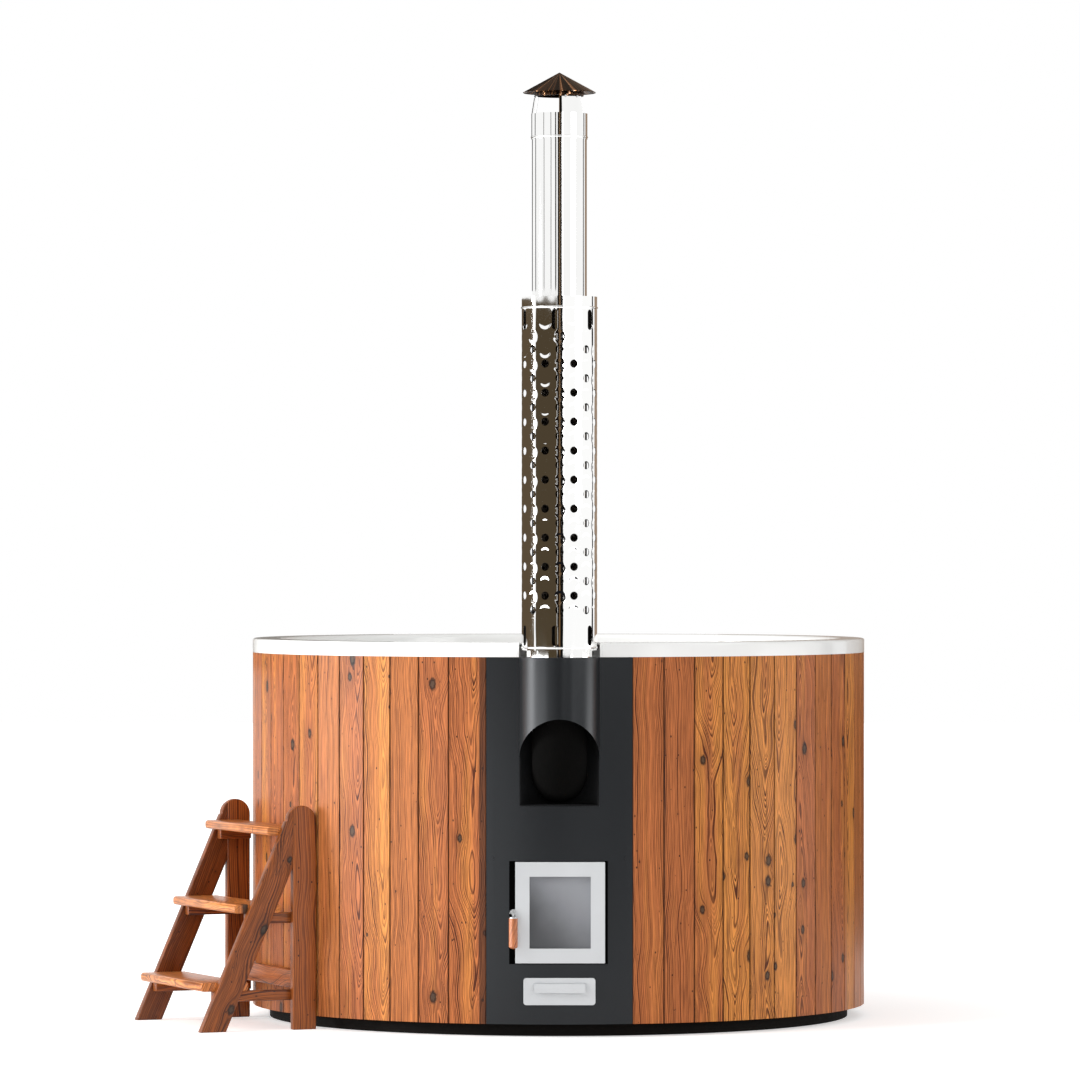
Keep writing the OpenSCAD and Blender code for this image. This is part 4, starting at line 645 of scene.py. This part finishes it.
# Handle grip. A turned and oiled piece of larch on a steel rod, kept cool to the touch. It is
# polished by hands, and its grain runs along it.
grip_x, grip_y = -0.1295, -0.918
turned_larch, tree, shader = new_material("turned_larch")
x, y, z = add_node(tree, "SeparateXYZ", add_node(tree, "TexCoord")["Object"])
grip_across = add_node(tree, "Math", x, grip_x, operation="SUBTRACT")[0]
grip_deep = add_node(tree, "Math", y, grip_y, operation="SUBTRACT")[0]
grip_board = 3.0
colour, height = pine_grain(tree, grip_across, grip_deep, z, grip_board, ("#d27d46", "#934c26"),
                            ("#c26e3e", "#834322"), ring_mm=3.0, knot_cell=0.3, knot_share=0.05)
feed(shader, {"Base Color": colour, "Roughness": 0.2, "Specular IOR Level": 0.7})
finish(turned_larch, "handle_grip")


# Drain parts. A brass valve turned on a lathe and tarnished in cloudy spots, with its lever dipped in
# red vinyl, which gives a soft even skin, and a plug moulded of black rubber with a pale bloom.
finish(mottled("turned_brass", ("#c9a45c", "#9c7a3c"), 25.0, 3.0, {"Metallic": 1.0, "Roughness": 0.3}), "drain_valve")
finish(mottled("dipped_vinyl", ("#a01d18", "#8a1713"), 6.667, 2.0, {"Roughness": 0.4}), "valve_lever")
finish(mottled("moulded_rubber", ("#1a1b1c", "#2a2b2c"), 11.11, 3.0, {"Roughness": 0.7}), "drain_plug")


# Steps. Planed larch, darker than the tub, with rounded edges, screwed together. The posts stand
# upright against the tub, the stringers lean on them, and each tread lies on two cleats.
step_turn = math.radians(-66.3)  # of the steps about the tub
steps_place = (0.0174, 0.9054, 0.0)  # shift to the steps' own frame, once they are turned back
tread_rise = 0.22
stringer_lean = math.radians(23.7)


def eased(node, piece_name, radius, material, segments=3):
    """A copy of a CAD node whose sharp edges are rounded, as a router with a small radius leaves them."""
    weld_distance = 1e-6
    level_angle, sharp_angle, shaded_angle = math.radians(1.0), math.radians(25.0), math.radians(35.0)
    mesh = nodes[node].data.copy()
    mesh.name = piece_name
    solid = bmesh.new()
    solid.from_mesh(mesh)
    bmesh.ops.remove_doubles(solid, verts=solid.verts, dist=weld_distance)
    bmesh.ops.dissolve_limit(solid, angle_limit=level_angle, verts=solid.verts, edges=solid.edges)
    sharp = [e for e in solid.edges if len(e.link_faces) == 2 and e.calc_face_angle() > sharp_angle]
    bmesh.ops.bevel(solid, geom=sharp, offset=radius, segments=segments, profile=0.5, affect="EDGES",
                    clamp_overlap=True)
    bmesh.ops.recalc_face_normals(solid, faces=solid.faces)
    solid.to_mesh(mesh)
    solid.free()
    mesh.polygons.foreach_set("use_smooth", np.full(len(mesh.polygons), True))
    mesh.set_sharp_from_angle(angle=shaded_angle)
    mesh.materials.clear()
    mesh.materials.append(material)
    piece = bpy.data.objects.new(piece_name, mesh)
    bpy.context.scene.collection.objects.link(piece)
    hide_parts(node)
    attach(piece, nodes[node]["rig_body"])


def larch(name, across, deep, along, split, seed, light=("#ba682a", "#55260d"), red=("#a25928", "#4c220e")):
    """Oiled larch. Across, deep and along are the directions of a piece in the steps' own frame, and
    whole numbers of place times split tell one piece of a set from the next."""
    material, tree, shader = new_material(name)
    place = add_node(tree, "Mapping", {"Vector": add_node(tree, "TexCoord")["Object"],
                                       "Rotation": (0.0, 0.0, -step_turn), "Location": steps_place})[0]
    across, deep, along, split = (add_node(tree, "VectorMath", place, direction, operation="DOT_PRODUCT")["Value"]
                                  for direction in (across, deep, along, split))
    piece = add_node(tree, "Math", add_node(tree, "Math", split, operation="FLOOR")[0], seed, operation="ADD")[0]
    colour, height = pine_grain(tree, across, deep, along, piece, light, red, ring_mm=5.0, knot_cell=0.07,
                                knot_share=0.35)
    feed(shader, {"Base Color": colour, "Roughness": 0.3, "Specular IOR Level": 0.32,
                  "Normal": add_node(tree, "Bump", {"Height": height, "Strength": 0.3, "Distance": 0.0006})[0]})
    return material


east, north, up = (1.0, 0.0, 0.0), (0.0, 1.0, 0.0), (0.0, 0.0, 1.0)
up_stringer = (0.0, math.sin(stringer_lean), math.cos(stringer_lean))
across_stringer = (0.0, math.cos(stringer_lean), -math.sin(stringer_lean))
eased("step_posts", "post_pair", 0.003, larch("oiled_larch_posts", north, east, up, east, 11.0))
# The stringers get darker colours than the rest of the larch: a painted shade.
eased("step_stringers", "stringer_pair", 0.003,
      larch("oiled_larch_stringers_painted_darker", across_stringer, east, up_stringer, east, 21.0,
            ("#9a5424", "#47200c"), ("#874922", "#3f1c0c")))
# The treads get lighter colours than the rest of the larch: painted light, for their noses that face the lamps.
eased("step_treads", "treads", 0.0015,
      larch("oiled_larch_treads_painted_lighter", north, up, east, (0.0, 0.0, 1 / tread_rise), 31.0,
            ("#f39c50", "#7b3a15"), ("#dc8748", "#6a3115")), 2)
eased("step_cleats", "cleats", 0.0025,
      larch("oiled_larch_cleats", up, east, north, (1.0, 0.0, 2 / tread_rise), 41.0))
eased("step_rail", "rail", 0.003, larch("oiled_larch_rail", up, north, east, up, 51.0))
